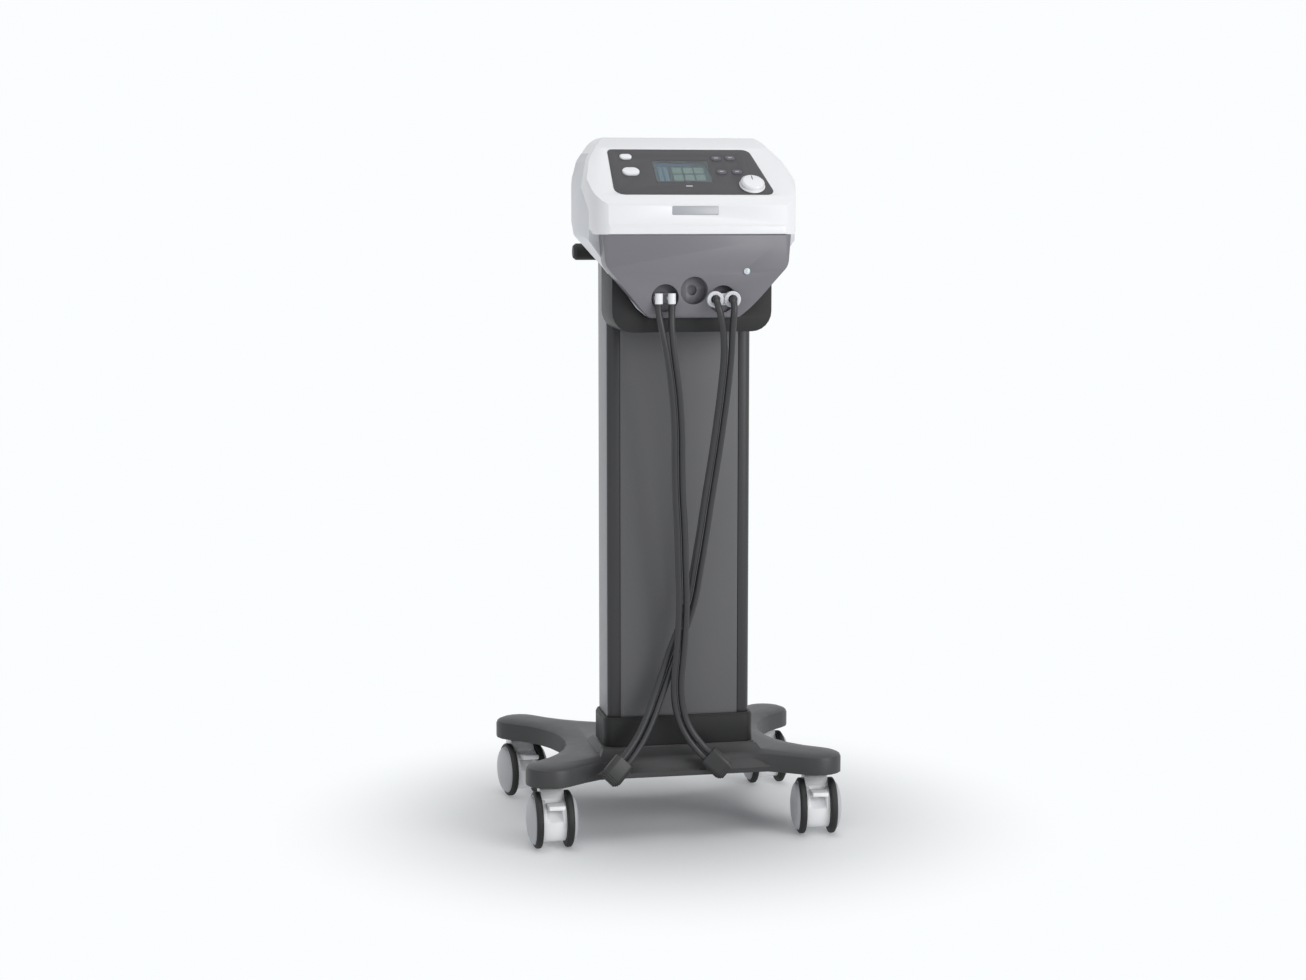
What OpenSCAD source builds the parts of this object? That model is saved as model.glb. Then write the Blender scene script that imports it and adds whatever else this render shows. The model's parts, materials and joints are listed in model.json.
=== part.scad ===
// Compression therapy pump: a console on a rolling column stand, with two pairs of air hoses.
// Millimetres, +Z up, +X to the object's right as seen from its front, front towards -Y.
// The origin is on the floor, under the middle of the object.

/* [Stand] */
// Distance between the front and the rear caster stems
wheelbase = 304; // [285:1:330]
// Distance between the left and the right caster stems
track = 386; // [370:1:410]
// How far the front stems stand ahead of the column's front face
stem_lead = 33; // [25:1:40]
// How far the leg ends are moved forward from the stems
leg_shift = 8; // [0:1:12]
// Radius of a leg's round end
leg_r = 36; // [36:1:42]
// Height of the base cover's edge, from its lower rim to the top of a leg
leg_h = 27; // [24:1:34]
// Gap between the top of the wheels and the base cover's lower rim
rim_gap = 10; // [8:1:16]
// Half width left between the left and right hollows of the base
waist = 150; // [140:1:160]
// Distance from the middle of the base to its rear hollow
rear_hollow = 93; // [80:1:105]
// Wall of the base cover
cover_wall = 3; // [2:0.5:4]
// Height of the raised part round the column's foot, over the legs
foot_rise = 12; // [8:1:16]
// Steel plate under the column
plate_t = 6; // [5:1:8]
// Height of the steel tubes in the base
tube_h = 8; // [7:0.5:9]
// Width of the steel tubes in the base
tube_w = 30; // [24:1:36]

/* [Casters] */
// Wheel diameter
wheel_d = 80; // [75:1:85]
// Width of one wheel, up to the edge of its hub cover
wheel_w = 15; // [14:1:17]
// Width of the tread that rolls on the floor
tread_w = 9; // [8:0.5:10]
// How far the hub cover bulges out of the wheel
hub_bulge = 4; // [2:0.5:6]
// Width of the caster body between its two wheels
hood_w = 33; // [29:1:33]
// Distance from the swivel axis back to the wheel axle
trail = 16; // [14:1:22]
// Axle diameter
axle_d = 8; // [6:0.5:10]
// Diameter of the steel stem that the caster swivels on
stem_d = 12; // [10:0.5:14]
// Clearance between a shaft and the hole that turns on it
running_gap = 0.05; // [0.02:0.01:0.1]
// Travel of a brake pedal, in degrees
pedal_travel = 16; // [8:1:18]
// Width of a brake pedal
pedal_w = 22; // [18:1:23]

/* [Column] */
// Width of the column
column_w = 208; // [200:1:216]
// Depth of the column
column_d = 78; // [72:1:84]
// Wall of the column
column_wall = 3; // [2:0.5:4]
// Height of the column's top over the floor
column_top = 836; // [820:1:837]
// Width of the front panel
front_panel_w = 171; // [160:1:174]
// Thickness of the front panel
front_panel_t = 4; // [3:0.5:5]
// How far the front panel stands out of the column
front_panel_proud = 1.5; // [0.5:0.5:2.5]
// Height of the collar at the column's foot
collar_h = 42; // [34:1:50]
// Wall of the collar
collar_wall = 5; // [3:0.5:6]
// Diameter of the bolts at both ends of the column
column_bolt_d = 8; // [6:1:8]

/* [Handle and cradle] */
// Length of the push handle
handle_len = 262; // [230:1:280]
// Diameter of the push handle
handle_d = 24; // [22:1:30]
// Finger gap between the push handle and the column
handle_gap = 32; // [28:1:40]
// How far the push handle's middle lies under the column's top
handle_drop = 5; // [0:1:14]
// Width of the cradle in front of the column
cradle_w = 224; // [218:1:230]
// How far the cradle reaches ahead of the column's front face
cradle_reach = 84; // [82:1:88]
// Height of the cradle, from the column's top down to its tray
cradle_h = 115; // [112:1:118]
// Wall of the cradle
cradle_wall = 3; // [2.5:0.5:4]

/* [Console] */
// How far the console reaches ahead of the column's front face
console_reach = 121; // [118:1:126]
// Widest size of the console, across its side grips
console_w = 300; // [292:1:310]
// Width of the white front
fascia_w = 276; // [268:1:284]
// Height of the white front's lower edge over the column's top
console_lift = 22; // [20:1:24]
// Height of the console over the white front's lower edge
console_h = 133; // [131:1:136]
// Height of the white front, from its lower edge to the sloping top
fascia_h = 51; // [49:1:52]
// How far the grey front reaches down from the white front
chin_depth = 114; // [112:1:116]
// Wall of the console's shells
shell_wall = 3; // [2:0.5:4]
// Width of the control panel at its front edge
panel_front_w = 224; // [216:1:228]
// Width of the control panel at its back edge
panel_back_w = 200; // [192:1:204]
// Length of the control panel, up its slope
panel_len = 106; // [100:1:108]
// Thickness of the control panel
panel_t = 2; // [1.5:0.5:3]

/* [Controls] */
// Width of the display window
display_w = 78; // [60:1:84]
// Length of the display window, up the panel's slope
display_len = 50; // [40:1:56]
// Diameter of the dial
dial_d = 34; // [28:1:36]
// Height of the dial over the panel
dial_h = 9; // [8:1:16]
// Clearance round a key in its hole
key_gap = 0.4; // [0.3:0.1:0.6]
// Travel of the keys and buttons
key_travel = 1; // [0.6:0.1:1.5]
// Travel of the mains switch to either side, in degrees
rocker_travel = 10; // [6:1:12]

/* [Hoses] */
// Outer diameter of one air tube
tube_d = 9.4; // [9:0.2:10]
// Distance between neighbouring hose ports
port_pitch = 40; // [38:1:42]
// Radius of the hollow round a hose port
port_r = 19; // [18:0.5:20]
// Bore of a hose port
port_bore = 14; // [12:0.5:16]

/* [Hidden] */

seat = 0.3;           // gap between a piece and what it rests on
fine = 48;            // sides of small round shapes
smooth = 96;          // sides of large round shapes
cut = 1;              // how far a cut runs past the face it opens

// Places that follow from the sizes above
parting_z = column_top + console_lift;               // the white front's lower edge
handle_z = column_top - handle_drop;
wheel_r = wheel_d / 2;
rim_z = wheel_d + rim_gap;
leg_top = rim_z + leg_h;
foot_z = leg_top + foot_rise;
legs_rear = wheelbase - stem_lead - leg_shift + leg_r;
column_y = (console_reach - legs_rear) / 2;          // the column's front face
stems_y = column_y - stem_lead + wheelbase / 2;      // middle of the four stems
base_y = stems_y - leg_shift;                        // middle of the base moulding
plate_z = rim_z + 4;
column_foot = plate_z + plate_t + seat;
handle_y = column_y + column_d + handle_gap + handle_d / 2;
front_y = column_y - console_reach;
CASTERS = [
    // name, side, end, turn of the caster in degrees
    ["fl", -1, -1, 0],
    ["fr", 1, -1, -7],
    ["rl", -1, 1, 9],
    ["rr", 1, 1, 0]];

// ---------- shared helpers ----------

function unit(v) = v / norm(v);
function wrap(p, i) = p[(i + len(p)) % len(p)];
function xy(p) = [p[0], p[1]];
function turn(a, b) = a[0] * b[1] - a[1] * b[0];

// Points of an outline whose corners are given as [x, y, radius]
function rounded(p, steps = 6) = [
    for (i = [0 : len(p) - 1])
        let (b = xy(p[i]),
             u = unit(xy(wrap(p, i - 1)) - b),
             v = unit(xy(wrap(p, i + 1)) - b),
             half = acos(u * v) / 2,
             r = max(p[i][2], 0.01),
             c = b + unit(u + v) * r / sin(half),
             a0 = atan2((b + u * r / tan(half) - c)[1], (b + u * r / tan(half) - c)[0]),
             sweep = sign(turn(u, v)) * -(180 - 2 * half))
            for (k = [0 : steps]) c + r * [cos(a0 + sweep * k / steps), sin(a0 + sweep * k / steps)]];

// The same corners moved inwards by g, for an outline that runs anticlockwise
function shrink(p, g) = [
    for (i = [0 : len(p) - 1])
        let (b = xy(p[i]),
             u = unit(xy(wrap(p, i - 1)) - b),
             v = unit(xy(wrap(p, i + 1)) - b),
             s = sign(turn(v, u)),
             q = b + s * (u + v) * g / abs(turn(u, v)))
            [q[0], q[1], max(p[i][2] - s * g, 0.5)]];

// Corners of a rectangle with one corner radius
function box_corners(x0, y0, x1, y1, r) = [[x0, y0, r], [x1, y0, r], [x1, y1, r], [x0, y1, r]];

// A drawing in Y and Z, carried along X
module along_x(w) rotate([90, 0, 90]) linear_extrude(w, center = true) children();

// A drawing in X and Z, carried from y0 to y1
module along_y(y0, y1) translate([0, y1, 0]) rotate([90, 0, 0]) linear_extrude(y1 - y0) children();

// A drawing in X and Y, carried from z0 to z1
module along_z(z0, z1) translate([0, 0, z0]) linear_extrude(z1 - z0) children();

module rod_x(r, l) rotate([0, 90, 0]) cylinder(r = r, h = l, center = true, $fn = fine);

module both_sides() {
    children();
    mirror([1, 0, 0]) children();
}

// ---------- base ----------

// Radius of a hollow that touches two leg ends: a is half their distance,
// b how far they stand out from the hollow's bottom
function hollow_r(a, b) = (a * a + b * b - leg_r * leg_r) / (2 * (leg_r + b));

// Points of an arc round c; the first one is left out where from is 1
function arc(c, r, a0, a1, steps, from = 0) = [
    for (k = [from : steps])
        let (a = a0 + (a1 - a0) * k / steps)
            c + r * [cos(a), sin(a)]];
function bearing(a, b) = atan2(b[1] - a[1], b[0] - a[0]);

leg_x = track / 2;
leg_y = wheelbase / 2;
front_hollow = base_y - column_y + 9;     // just ahead of the collar
side_r = hollow_r(leg_y, leg_x - waist);
rear_r = hollow_r(leg_x, leg_y - rear_hollow);
front_r = hollow_r(leg_x, leg_y - front_hollow);
side_c = [waist + side_r, 0];
rear_c = [0, rear_hollow + rear_r];
front_c = [0, -front_hollow - front_r];

// Steps of the arcs of the outline's right half: front hollow, leg ends, side hollow, rear hollow
front_steps = 6;
leg_steps = 9;
side_steps = 10;
rear_steps = 7;

// The base seen from above, with its edge moved in by g
function base_outline(g) =
    let (fr = [leg_x, -leg_y], rr = [leg_x, leg_y],
         half = concat(
             arc(front_c, front_r + g, 90, bearing(front_c, fr), front_steps),
             arc(fr, leg_r - g, bearing(fr, front_c), bearing(fr, side_c), leg_steps, 1),
             arc(side_c, side_r + g, bearing(side_c, fr), bearing(side_c, rr) - 360, side_steps, 1),
             arc(rr, leg_r - g, bearing(rr, side_c), bearing(rr, rear_c), leg_steps, 1),
             arc(rear_c, rear_r + g, bearing(rear_c, rr), -90, rear_steps, 1)))
    concat(half, [for (i = [len(half) - 2 : -1 : 1]) [-half[i][0], half[i][1]]]);

// Middles of the level faces' five fans: the base's and each leg's
fan_middles = [[0, 0], [leg_x, -leg_y], [leg_x, leg_y], [-leg_x, leg_y], [-leg_x, -leg_y]];

// Triangles of a level face: its outline's n points are numbered from ring on, its fan middles from hub on
function base_face(n, ring, hub) =
    let (fr = [front_steps - 2, front_steps + leg_steps],
         rr = [fr[1] + side_steps, fr[1] + side_steps + leg_steps + 2],
         legs = [fr, rr, [n - rr[1], n - rr[0]], [n - fr[1], n - fr[0]]],
         inside = [for (k = [0 : 4]) each concat(
             [for (i = [k == 0 ? 0 : legs[k - 1][1] : k == 4 ? n - 1 : legs[k][0]]) ring + i],
             k == 4 ? [] : [hub + 1 + k])])
    concat(
        [for (k = [0 : 3]) for (i = [legs[k][0] : legs[k][1] - 1]) [hub + 1 + k, ring + i, ring + i + 1]],
        [for (j = [0 : len(inside) - 1]) [hub, inside[j], wrap(inside, j + 1)]]);

// A body whose outline is base_outline, lofted through [inset, height] steps
module base_loft(steps) {
    rings = [for (s = steps) base_outline(s[0])];
    n = len(rings[0]);
    m = len(steps);
    points = concat(
        [for (j = [0 : m - 1]) for (q = rings[j]) [q[0], q[1], steps[j][1]]],
        [for (j = [0, m - 1]) for (q = fan_middles) [q[0], q[1], steps[j][1]]]);
    sides = [for (j = [0 : m - 2]) for (i = [0 : n - 1]) each
        [[j * n + i, (j + 1) * n + i, j * n + (i + 1) % n],
         [j * n + (i + 1) % n, (j + 1) * n + i, (j + 1) * n + (i + 1) % n]]];
    foot = base_face(n, 0, n * m);
    top = [for (t = base_face(n, n * (m - 1), n * m + len(fan_middles))) [t[2], t[1], t[0]]];
    polyhedron(points, concat(sides, foot, top));
}

// Low mound that the column's foot stands in
mound_front = 8;      // how far its front stands ahead of the column
mound_top = 8;        // how far its top stands out at the column's sides
mound_side = 16;      // how far its foot stands out at the column's sides
mound_rear = 40;      // how far its foot reaches behind the column

// The mound's outline at one height, moved in by g
function mound_outline(side, rear, g, r) =
    rounded(box_corners(-column_w / 2 - side + g, column_y - mound_front + g,
                        column_w / 2 + side - g, column_y + column_d + rear - g, r), 4);

module foot_mound(g) {
    hull() {
        along_z(foot_z - 2 - g, foot_z - g) polygon(mound_outline(mound_top, 10, g, 14));
        along_z(rim_z + 8, leg_top - 2) polygon(mound_outline(mound_side, mound_rear, g, 18));
    }
}

// Sloping apron between the front legs
apron_reach = 42;
apron_w = 268;

// The apron seen from the front at one place: its widths at the foot and the top, its lowest and highest line
function apron_slice(foot_w, top_w, z0, z1) = [
    [-foot_w / 2, z0], [foot_w / 2, z0], [top_w / 2, z1], [-top_w / 2, z1]];

module apron(g) {
    front = column_y - apron_reach;
    root_w = column_w + 2 * mound_top - 2 * g;
    foot = rim_z + (g > 0 ? -cut : 1);
    hull() {
        along_y(column_y - mound_front, column_y + mound_front)
            polygon(apron_slice(root_w, root_w, rim_z + 4, foot_z - 2 - g));
        along_y(front + g, front + g + 1)
            polygon(apron_slice(apron_w - 2 * g, apron_w - 8 - 2 * g, foot, rim_z + 8 - g));
        along_y(column_y + 20, column_y + 24)
            polygon(apron_slice(column_w - 2 * g, column_w - 2 * g, foot, rim_z + 8));
    }
}

module base_cover() color("dimgray") {
    difference() {
        union() {
            translate([0, base_y, 0])
                base_loft([[0, rim_z], [0, leg_top - 7], [2, leg_top - 2.5],
                           [8, leg_top], [26, leg_top + 1.5]]);
            foot_mound(0);
            apron(0);
        }
        translate([0, base_y, 0])
            base_loft([[cover_wall, rim_z - cut], [cover_wall, leg_top - 8],
                       [cover_wall + 9, leg_top - cover_wall]]);
        foot_mound(cover_wall);
        apron(cover_wall);
        // opening for the column's foot
        along_z(rim_z + 3, foot_z + cut)
            polygon(rounded(box_corners(-column_w / 2 - seat, column_y - front_panel_proud - 2 * seat,
                                        column_w / 2 + seat, column_y + column_d + seat, 8)));
    }
}

// A rectangular steel tube from p to q, lying on the plate
tube_wall = 1.5;
module steel_tube(p, q) {
    d = q - p;
    w = tube_w - 2 * tube_wall;
    translate([p[0], p[1], 0]) rotate([0, 0, atan2(d[1], d[0])]) difference() {
        translate([0, -tube_w / 2, 0]) cube([norm(d), tube_w, tube_h]);
        translate([-cut, -w / 2, tube_wall]) cube([norm(d) + 2 * cut, w, tube_h - 2 * tube_wall]);
    }
}

stem_boss_r = stem_d / 2 + 8;
frame_front = column_y - 22;
frame_rear = column_y + column_d + 40;

module base_frame() color("silver") {
    difference() {
        union() {
            along_z(plate_z, plate_z + plate_t)
                polygon(rounded(box_corners(-column_w / 2 - 16, frame_front,
                                            column_w / 2 + 16, frame_rear, 10)));
            both_sides() {
                translate([0, 0, plate_z + plate_t]) {
                    steel_tube([column_w / 2 + 10, column_y + 2], [leg_x - 4, stems_y - leg_y + 4]);
                    steel_tube([column_w / 2 - 6, frame_rear - 18], [leg_x - 4, stems_y + leg_y - 4]);
                }
                for (e = [-1, 1])
                    translate([leg_x, stems_y + e * leg_y, rim_z + 1])
                        cylinder(r = stem_boss_r, h = leg_h - 8, $fn = fine);
                along_z(plate_z, plate_z + plate_t) {
                    polygon([[column_w / 2 + 6, frame_front + 8], [leg_x - 6, stems_y - leg_y - 10],
                             [leg_x + 4, stems_y - leg_y + 8], [column_w / 2 + 6, column_y + 30]]);
                    polygon([[column_w / 2 - 26, frame_rear - 10], [column_w / 2 + 10, frame_rear - 34],
                             [leg_x + 9, stems_y + leg_y - 8], [leg_x - 12, stems_y + leg_y + 8]]);
                }
            }
        }
        for (x = [-1, 1], e = [-1, 1])
            translate([x * leg_x, stems_y + e * leg_y, rim_z - cut])
                cylinder(r = stem_d / 2 + running_gap, h = leg_h + 2 * cut, $fn = fine);
        for (p = column_bosses)
            translate([p[0], p[1], plate_z - cut])
                cylinder(r = column_bolt_d / 2 + bolt_gap, h = plate_t + 2 * cut, $fn = fine);
    }
}

// ---------- column ----------

boss_inset = 9.5;     // from the column's faces to a corner boss's middle
bolt_gap = 0.5;       // clearance round a bolt in its hole
column_bosses = [for (x = [-1, 1], y = [boss_inset, column_d - boss_inset])
    [x * (column_w / 2 - boss_inset), column_y + y]];
corner_r = 11;
recess = front_panel_t - front_panel_proud + seat;

module column_section() {
    difference() {
        union() {
            difference() {
                polygon(rounded(box_corners(-column_w / 2, column_y,
                                            column_w / 2, column_y + column_d, corner_r)));
                polygon(rounded(box_corners(-column_w / 2 + column_wall, column_y + recess + column_wall,
                                            column_w / 2 - column_wall, column_y + column_d - column_wall,
                                            corner_r - column_wall)));
            }
            for (p = column_bosses)
                translate(p) circle(r = column_bolt_d / 2 + 3.5, $fn = fine);
        }
        translate([-front_panel_w / 2 - 2 * seat, column_y - cut])
            square([front_panel_w + 4 * seat, recess + cut]);
        for (p = column_bosses)
            translate(p) circle(r = column_bolt_d / 2, $fn = fine);
    }
}

module column_profile() color([0.30, 0.30, 0.31])
    along_z(column_foot, column_top) column_section();

module column_front_panel() color([0.40, 0.40, 0.41])
    along_z(foot_z + seat, column_top)
        polygon([[-front_panel_w / 2, column_y + recess - seat], [-front_panel_w / 2, column_y],
                 [-front_panel_w / 2 + 5, column_y - front_panel_proud],
                 [front_panel_w / 2 - 5, column_y - front_panel_proud],
                 [front_panel_w / 2, column_y], [front_panel_w / 2, column_y + recess - seat]]);

collar_in = 0.4;
module column_collar() color([0.16, 0.16, 0.17]) {
    inner = box_corners(-column_w / 2 - collar_in, column_y - front_panel_proud - collar_in,
                        column_w / 2 + collar_in, column_y + column_d + collar_in, corner_r + collar_in);
    difference() {
        union() {
            // its top edge is rounded in steps of [distance under the top, inset]
            for (s = [[4, 0], [2, 0.8], [0, 2]])
                along_z(foot_z + seat, foot_z + collar_h - s[0])
                    polygon(rounded(shrink(inner, s[1] - collar_wall)));
        }
        along_z(foot_z - cut, foot_z + collar_h + cut) polygon(rounded(inner));
    }
}

module hex_bolt(d, l, head) {
    cylinder(r = d / 2, h = l, $fn = fine);
    translate([0, 0, -head]) cylinder(r = d * 0.9, h = head, $fn = 6);
}

module column_bolts() color("gainsboro") {
    for (p = column_bosses) {
        translate([p[0], p[1], plate_z - seat]) hex_bolt(column_bolt_d - 0.2, 30, 5);
        translate([p[0], p[1], column_top + cradle_wall + 2 * seat]) mirror([0, 0, 1])
            hex_bolt(column_bolt_d - 0.2, 26, 5);
    }
}

// ---------- handle ----------

module push_handle() color([0.12, 0.12, 0.12]) {
    arm_x = 74;
    arm_w = 12;
    arm_y = column_y + column_d + seat;
    translate([0, handle_y, handle_z]) rod_x(handle_d / 2, handle_len - 8);
    both_sides() {
        translate([handle_len / 2 - 4.01, handle_y, handle_z]) rotate([0, 90, 0])
            cylinder(r1 = handle_d / 2, r2 = handle_d / 2 - 3, h = 4, $fn = fine);
        translate([arm_x, 0, 0]) along_x(arm_w)
            polygon([[arm_y, column_top - 40], [arm_y, column_top - 8],
                     [handle_y, handle_z + handle_d / 2 - 3], [handle_y, handle_z - handle_d / 2 + 3]]);
    }
}

// ---------- console: outlines ----------

// Side view of the whole console: [distance behind the column's front face, height, corner radius]
chin_z = parting_z - chin_depth;
fascia_top = parting_z + fascia_h;
crown_z = parting_z + console_h;
slope_rise = 68;
slope_run = 94;
slope_y0 = -console_reach + 13;
slope_y1 = slope_y0 + slope_run;
slope = atan(slope_rise / slope_run);
split_y = -cradle_reach;                  // where the front shell meets the rear shell
under_y = -45;
under_z = parting_z - 46;
rear_end = column_d - 4;
under_tilt = atan2(parting_z + 42 - under_z, rear_end - 6 - under_y);
function under_at(y) = under_z + (y - under_y) * tan(under_tilt);

// The line where the upper shell meets the rear shell, from the front to the back
parting_gap = 0.4;
PARTING = [
    [split_y, fascia_top - 20], [slope_y1 - 4, fascia_top + slope_rise - 24],
    [4, crown_z - 22], [rear_end, crown_z - 20]];

lip_h = 10;           // height of the lip along the foot of the white front
lip_proud = 1.8;      // how far the lip stands out
white_side = concat(
    [[-console_reach, parting_z, 3], [split_y, parting_z, 0.5]],
    [for (p = PARTING) [p[0], p[1], 0.5]],
    [[rear_end, crown_z - 1, 16], [8, crown_z, 18], [slope_y1, fascia_top + slope_rise, 16],
     [slope_y0, fascia_top, 11], [-console_reach + lip_proud, fascia_top - 10, 8],
     [-console_reach + lip_proud, parting_z + lip_h + 3, 4], [-console_reach, parting_z + lip_h, 4]]);

chin_side = [
    [-console_reach + 25, chin_z, 8], [split_y, chin_z, 0.5], [split_y, parting_z - seat, 0.5],
    [-console_reach + 1, parting_z - seat, 2], [-console_reach + 3, parting_z - 48, 40],
    [-console_reach + 10, chin_z + 26, 20]];

rear_side = concat(
    [[split_y + seat, chin_z + 2, 3], [-68, chin_z + 2, 8], [-60, chin_z + 14, 10], [under_y, under_z, 12],
     [rear_end - 6, parting_z + 42, 10], [rear_end, parting_z + 54, 8]],
    [for (i = [3 : -1 : 1]) [PARTING[i][0], PARTING[i][1] - parting_gap, 0.5]],
    [[split_y + seat, fascia_top - 20 - parting_gap, 0.5]]);

// The space inside the shells, seen from the side
inner_side = [
    [-console_reach + shell_wall + lip_proud, chin_z - 30, 1],
    [-console_reach + shell_wall + lip_proud, fascia_top - 12, 6],
    [slope_y0 + 2, fascia_top - shell_wall - 0.5, 8],
    [slope_y1 + 1, fascia_top + slope_rise - shell_wall - 0.5, 12], [8.5, crown_z - shell_wall, 14],
    [rear_end - shell_wall, crown_z - shell_wall - 1, 12], [rear_end - shell_wall, chin_z - 30, 1]];

// Front views: [half width, height, corner radius], for one side
function mirrored(p) = concat(p, [for (i = [len(p) - 1 : -1 : 0]) [-p[i][0], p[i][1], p[i][2]]]);

body_top = [
    [console_w / 2, parting_z, 20], [console_w / 2, fascia_top + 10, 26],
    [console_w / 2 - 14, fascia_top + 50, 24], [console_w / 2 - 34, fascia_top + 76, 14],
    [console_w / 2 - 50, crown_z + 5, 8]];

white_front = mirrored(concat([[fascia_w / 2 - 2, parting_z - 5, 1], [console_w / 2, parting_z + 16, 12]],
                              [for (i = [1 : 4]) body_top[i]]));

chin_front = mirrored([
    [62, chin_z, 10], [76, chin_z + 13, 14], [fascia_w / 2 - 11, parting_z - 42, 24],
    [fascia_w / 2 - 7, parting_z + 5, 1]]);

rear_front = mirrored(concat(
    [[63, chin_z + 1, 10], [78, chin_z + 13, 14], [console_w / 2 - 28, parting_z - 40, 30]], body_top));

plan_top = [
    [-fascia_w / 2, -console_reach - 1, 32], [fascia_w / 2, -console_reach - 1, 32],
    [console_w / 2 + 1, -40, 60], [console_w / 2 - 4, rear_end + 1, 40],
    [-console_w / 2 + 4, rear_end + 1, 40], [-console_w / 2 - 1, -40, 60]];
shell_steps = 4;

module console_body(side, front, plan) {
    translate([0, column_y, 0]) intersection() {
        along_x(console_w + 20) polygon(rounded(side, shell_steps));
        along_y(-console_reach - 5, rear_end + 10) polygon(rounded(front, shell_steps));
        along_z(chin_z - 20, crown_z + 20) polygon(rounded(plan, shell_steps));
    }
}

// ---------- console: panel frame ----------

// Origin at the front edge of the control panel, x to the right, y up the slope, z out of it
panel_t0 = 4;
module on_panel() {
    translate([0, column_y + slope_y0, fascia_top]) rotate([slope, 0, 0])
        translate([0, panel_t0, 0]) children();
}

panel_shift = -7;                         // how far the panel's back edge lies to the left
panel_corners = [
    [-panel_front_w / 2, 0, 14], [panel_front_w / 2 - 6, 0, 9], [panel_front_w / 2 - 2, 9, 8],
    [panel_shift + panel_back_w / 2, panel_len, 12], [panel_shift - panel_back_w / 2, panel_len, 7]];

display_at = [-10, 54];
power_at = [16 - panel_back_w / 2, panel_len - 19];
start_at = [30 - panel_front_w / 2, panel_len - 54];
dial_at = [panel_front_w / 2 - 30, 20];
keys_x = panel_back_w / 2 - 57;           // left end of the block of four keys
keys_at = [[keys_x, panel_len - 22], [keys_x + 20, panel_len - 21],
           [keys_x + 2, panel_len - 54], [keys_x + 24, panel_len - 54]];
button_sizes = [[17, 11], [24, 17]];      // power, start
key_size = [15, 10];
board_depth = 14;                         // from the panel's top face down to the board
panel_proud = 0.6;                        // how far the panel stands over the shell
window_t = 1.2;                           // thickness of the display window
window_gap = 0.2;                         // clearance round the display window

module pill(size, g) {
    r = size[1] / 2 + g;
    hull2 = (size[0] - size[1]) / 2;
    for (s = [-1, 1])
        translate([s * hull2, 0]) circle(r = r, $fn = fine);
    square([2 * hull2, 2 * r], center = true);
}

module key_holes(g) {
    translate(power_at) pill(button_sizes[0], g);
    translate(start_at) pill(button_sizes[1], g);
    for (p = keys_at)
        translate(p) pill(key_size, g);
}

module control_panel() color([0.36, 0.36, 0.38]) on_panel() {
    // posts that carry the board
    board_post_places() translate([0, 0, board_t - board_depth + seat])
        cylinder(r = 3, h = board_depth - board_t - seat + panel_proud - panel_t + 0.1, $fn = fine);
    difference() {
        translate([0, 0, panel_proud - panel_t]) linear_extrude(panel_t) difference() {
            polygon(rounded(panel_corners, shell_steps));
            key_holes(key_gap);
            translate(dial_at) circle(r = dial_shaft_r + 1, $fn = fine);
            translate(display_at) square([display_w - 4, display_len - 4], center = true);
        }
        translate([display_at[0], display_at[1], panel_proud - window_t]) linear_extrude(window_t + cut)
            square([display_w + 2 * window_gap, display_len + 2 * window_gap], center = true);
    }
}

module display_window() color([0.55, 0.68, 0.68]) on_panel()
    translate([display_at[0], display_at[1], panel_proud - window_t + 0.05]) linear_extrude(window_t - 0.1)
        polygon(rounded(box_corners(-display_w / 2, -display_len / 2, display_w / 2, display_len / 2, 2)));

module display_module() color([0.20, 0.25, 0.24]) on_panel()
    translate([display_at[0], display_at[1], board_t - board_depth + seat]) {
        translate([0, 0, 2.5]) cube([display_w + 12, display_len + 12, 5], center = true);
        translate([0, 0, 7]) cube([display_w - 2, display_len - 2, 4], center = true);
    }

dial_shaft_r = 3;
board_t = 1.6;
switch_top = 5.5;                         // top of a key's switch over the board's underside
board_x = panel_back_w / 2 - 2;           // half the board's width
board_posts = [[6 - board_x, 14], [board_x - 40, 14], [6 - board_x, 70], [board_x - 24, 72]];
module board_post_places() {
    for (p = board_posts)
        translate(p) children();
}
module control_board() color([0.10, 0.35, 0.18]) on_panel()
    translate([0, 0, -board_depth]) {
        difference() {
            linear_extrude(board_t)
                polygon([[-board_x, 8], [board_x, 8], [board_x, 34],
                         [board_x - 26, panel_len - 10], [-board_x, panel_len - 10]]);
            board_post_places() translate([0, 0, -cut]) cylinder(r = 1.6, h = 4, $fn = fine);
        }
        translate([dial_at[0] - 6.5, dial_at[1] - 6.5, board_t - 0.1]) cube([13, 13, 5]);
        translate([dial_at[0], dial_at[1], board_t + 4])
            cylinder(r = dial_shaft_r, h = board_depth + dial_h - board_t - 7, $fn = fine);
        for (p = concat(keys_at, [power_at, start_at]))
            translate([p[0] - 3, p[1] - 3, board_t - 0.1]) cube([6, 6, switch_top - board_t + 0.1]);
    }

// A key: its cap stands out of the panel, its stalk reaches down to the switch on the board
module panel_key(at, size, proud) on_panel() translate([at[0], at[1], 0]) {
    under = panel_proud - panel_t - seat;     // top face of its flange, under the panel
    stalk = switch_top - board_depth + seat + key_travel;
    translate([0, 0, under]) linear_extrude(proud - 0.8 - under) pill(size, 0);
    translate([0, 0, proud - 0.81]) linear_extrude(0.8) pill(size, -0.8);
    translate([0, 0, under - 1.2]) linear_extrude(1.21) pill(size, 1.2);
    translate([0, 0, stalk]) linear_extrude(under - stalk) pill([6, 4], 0);
}

module power_button() color("white") panel_key(power_at, button_sizes[0], 3);
module start_button() color("white") panel_key(start_at, button_sizes[1], 3);
module key_1() color([0.55, 0.55, 0.58]) panel_key(keys_at[0], key_size, 2);
module key_2() color([0.62, 0.62, 0.66]) panel_key(keys_at[1], key_size, 2);
module key_3() color([0.55, 0.55, 0.58]) panel_key(keys_at[2], key_size, 2);
module key_4() color([0.62, 0.62, 0.66]) panel_key(keys_at[3], key_size, 2);

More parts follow.
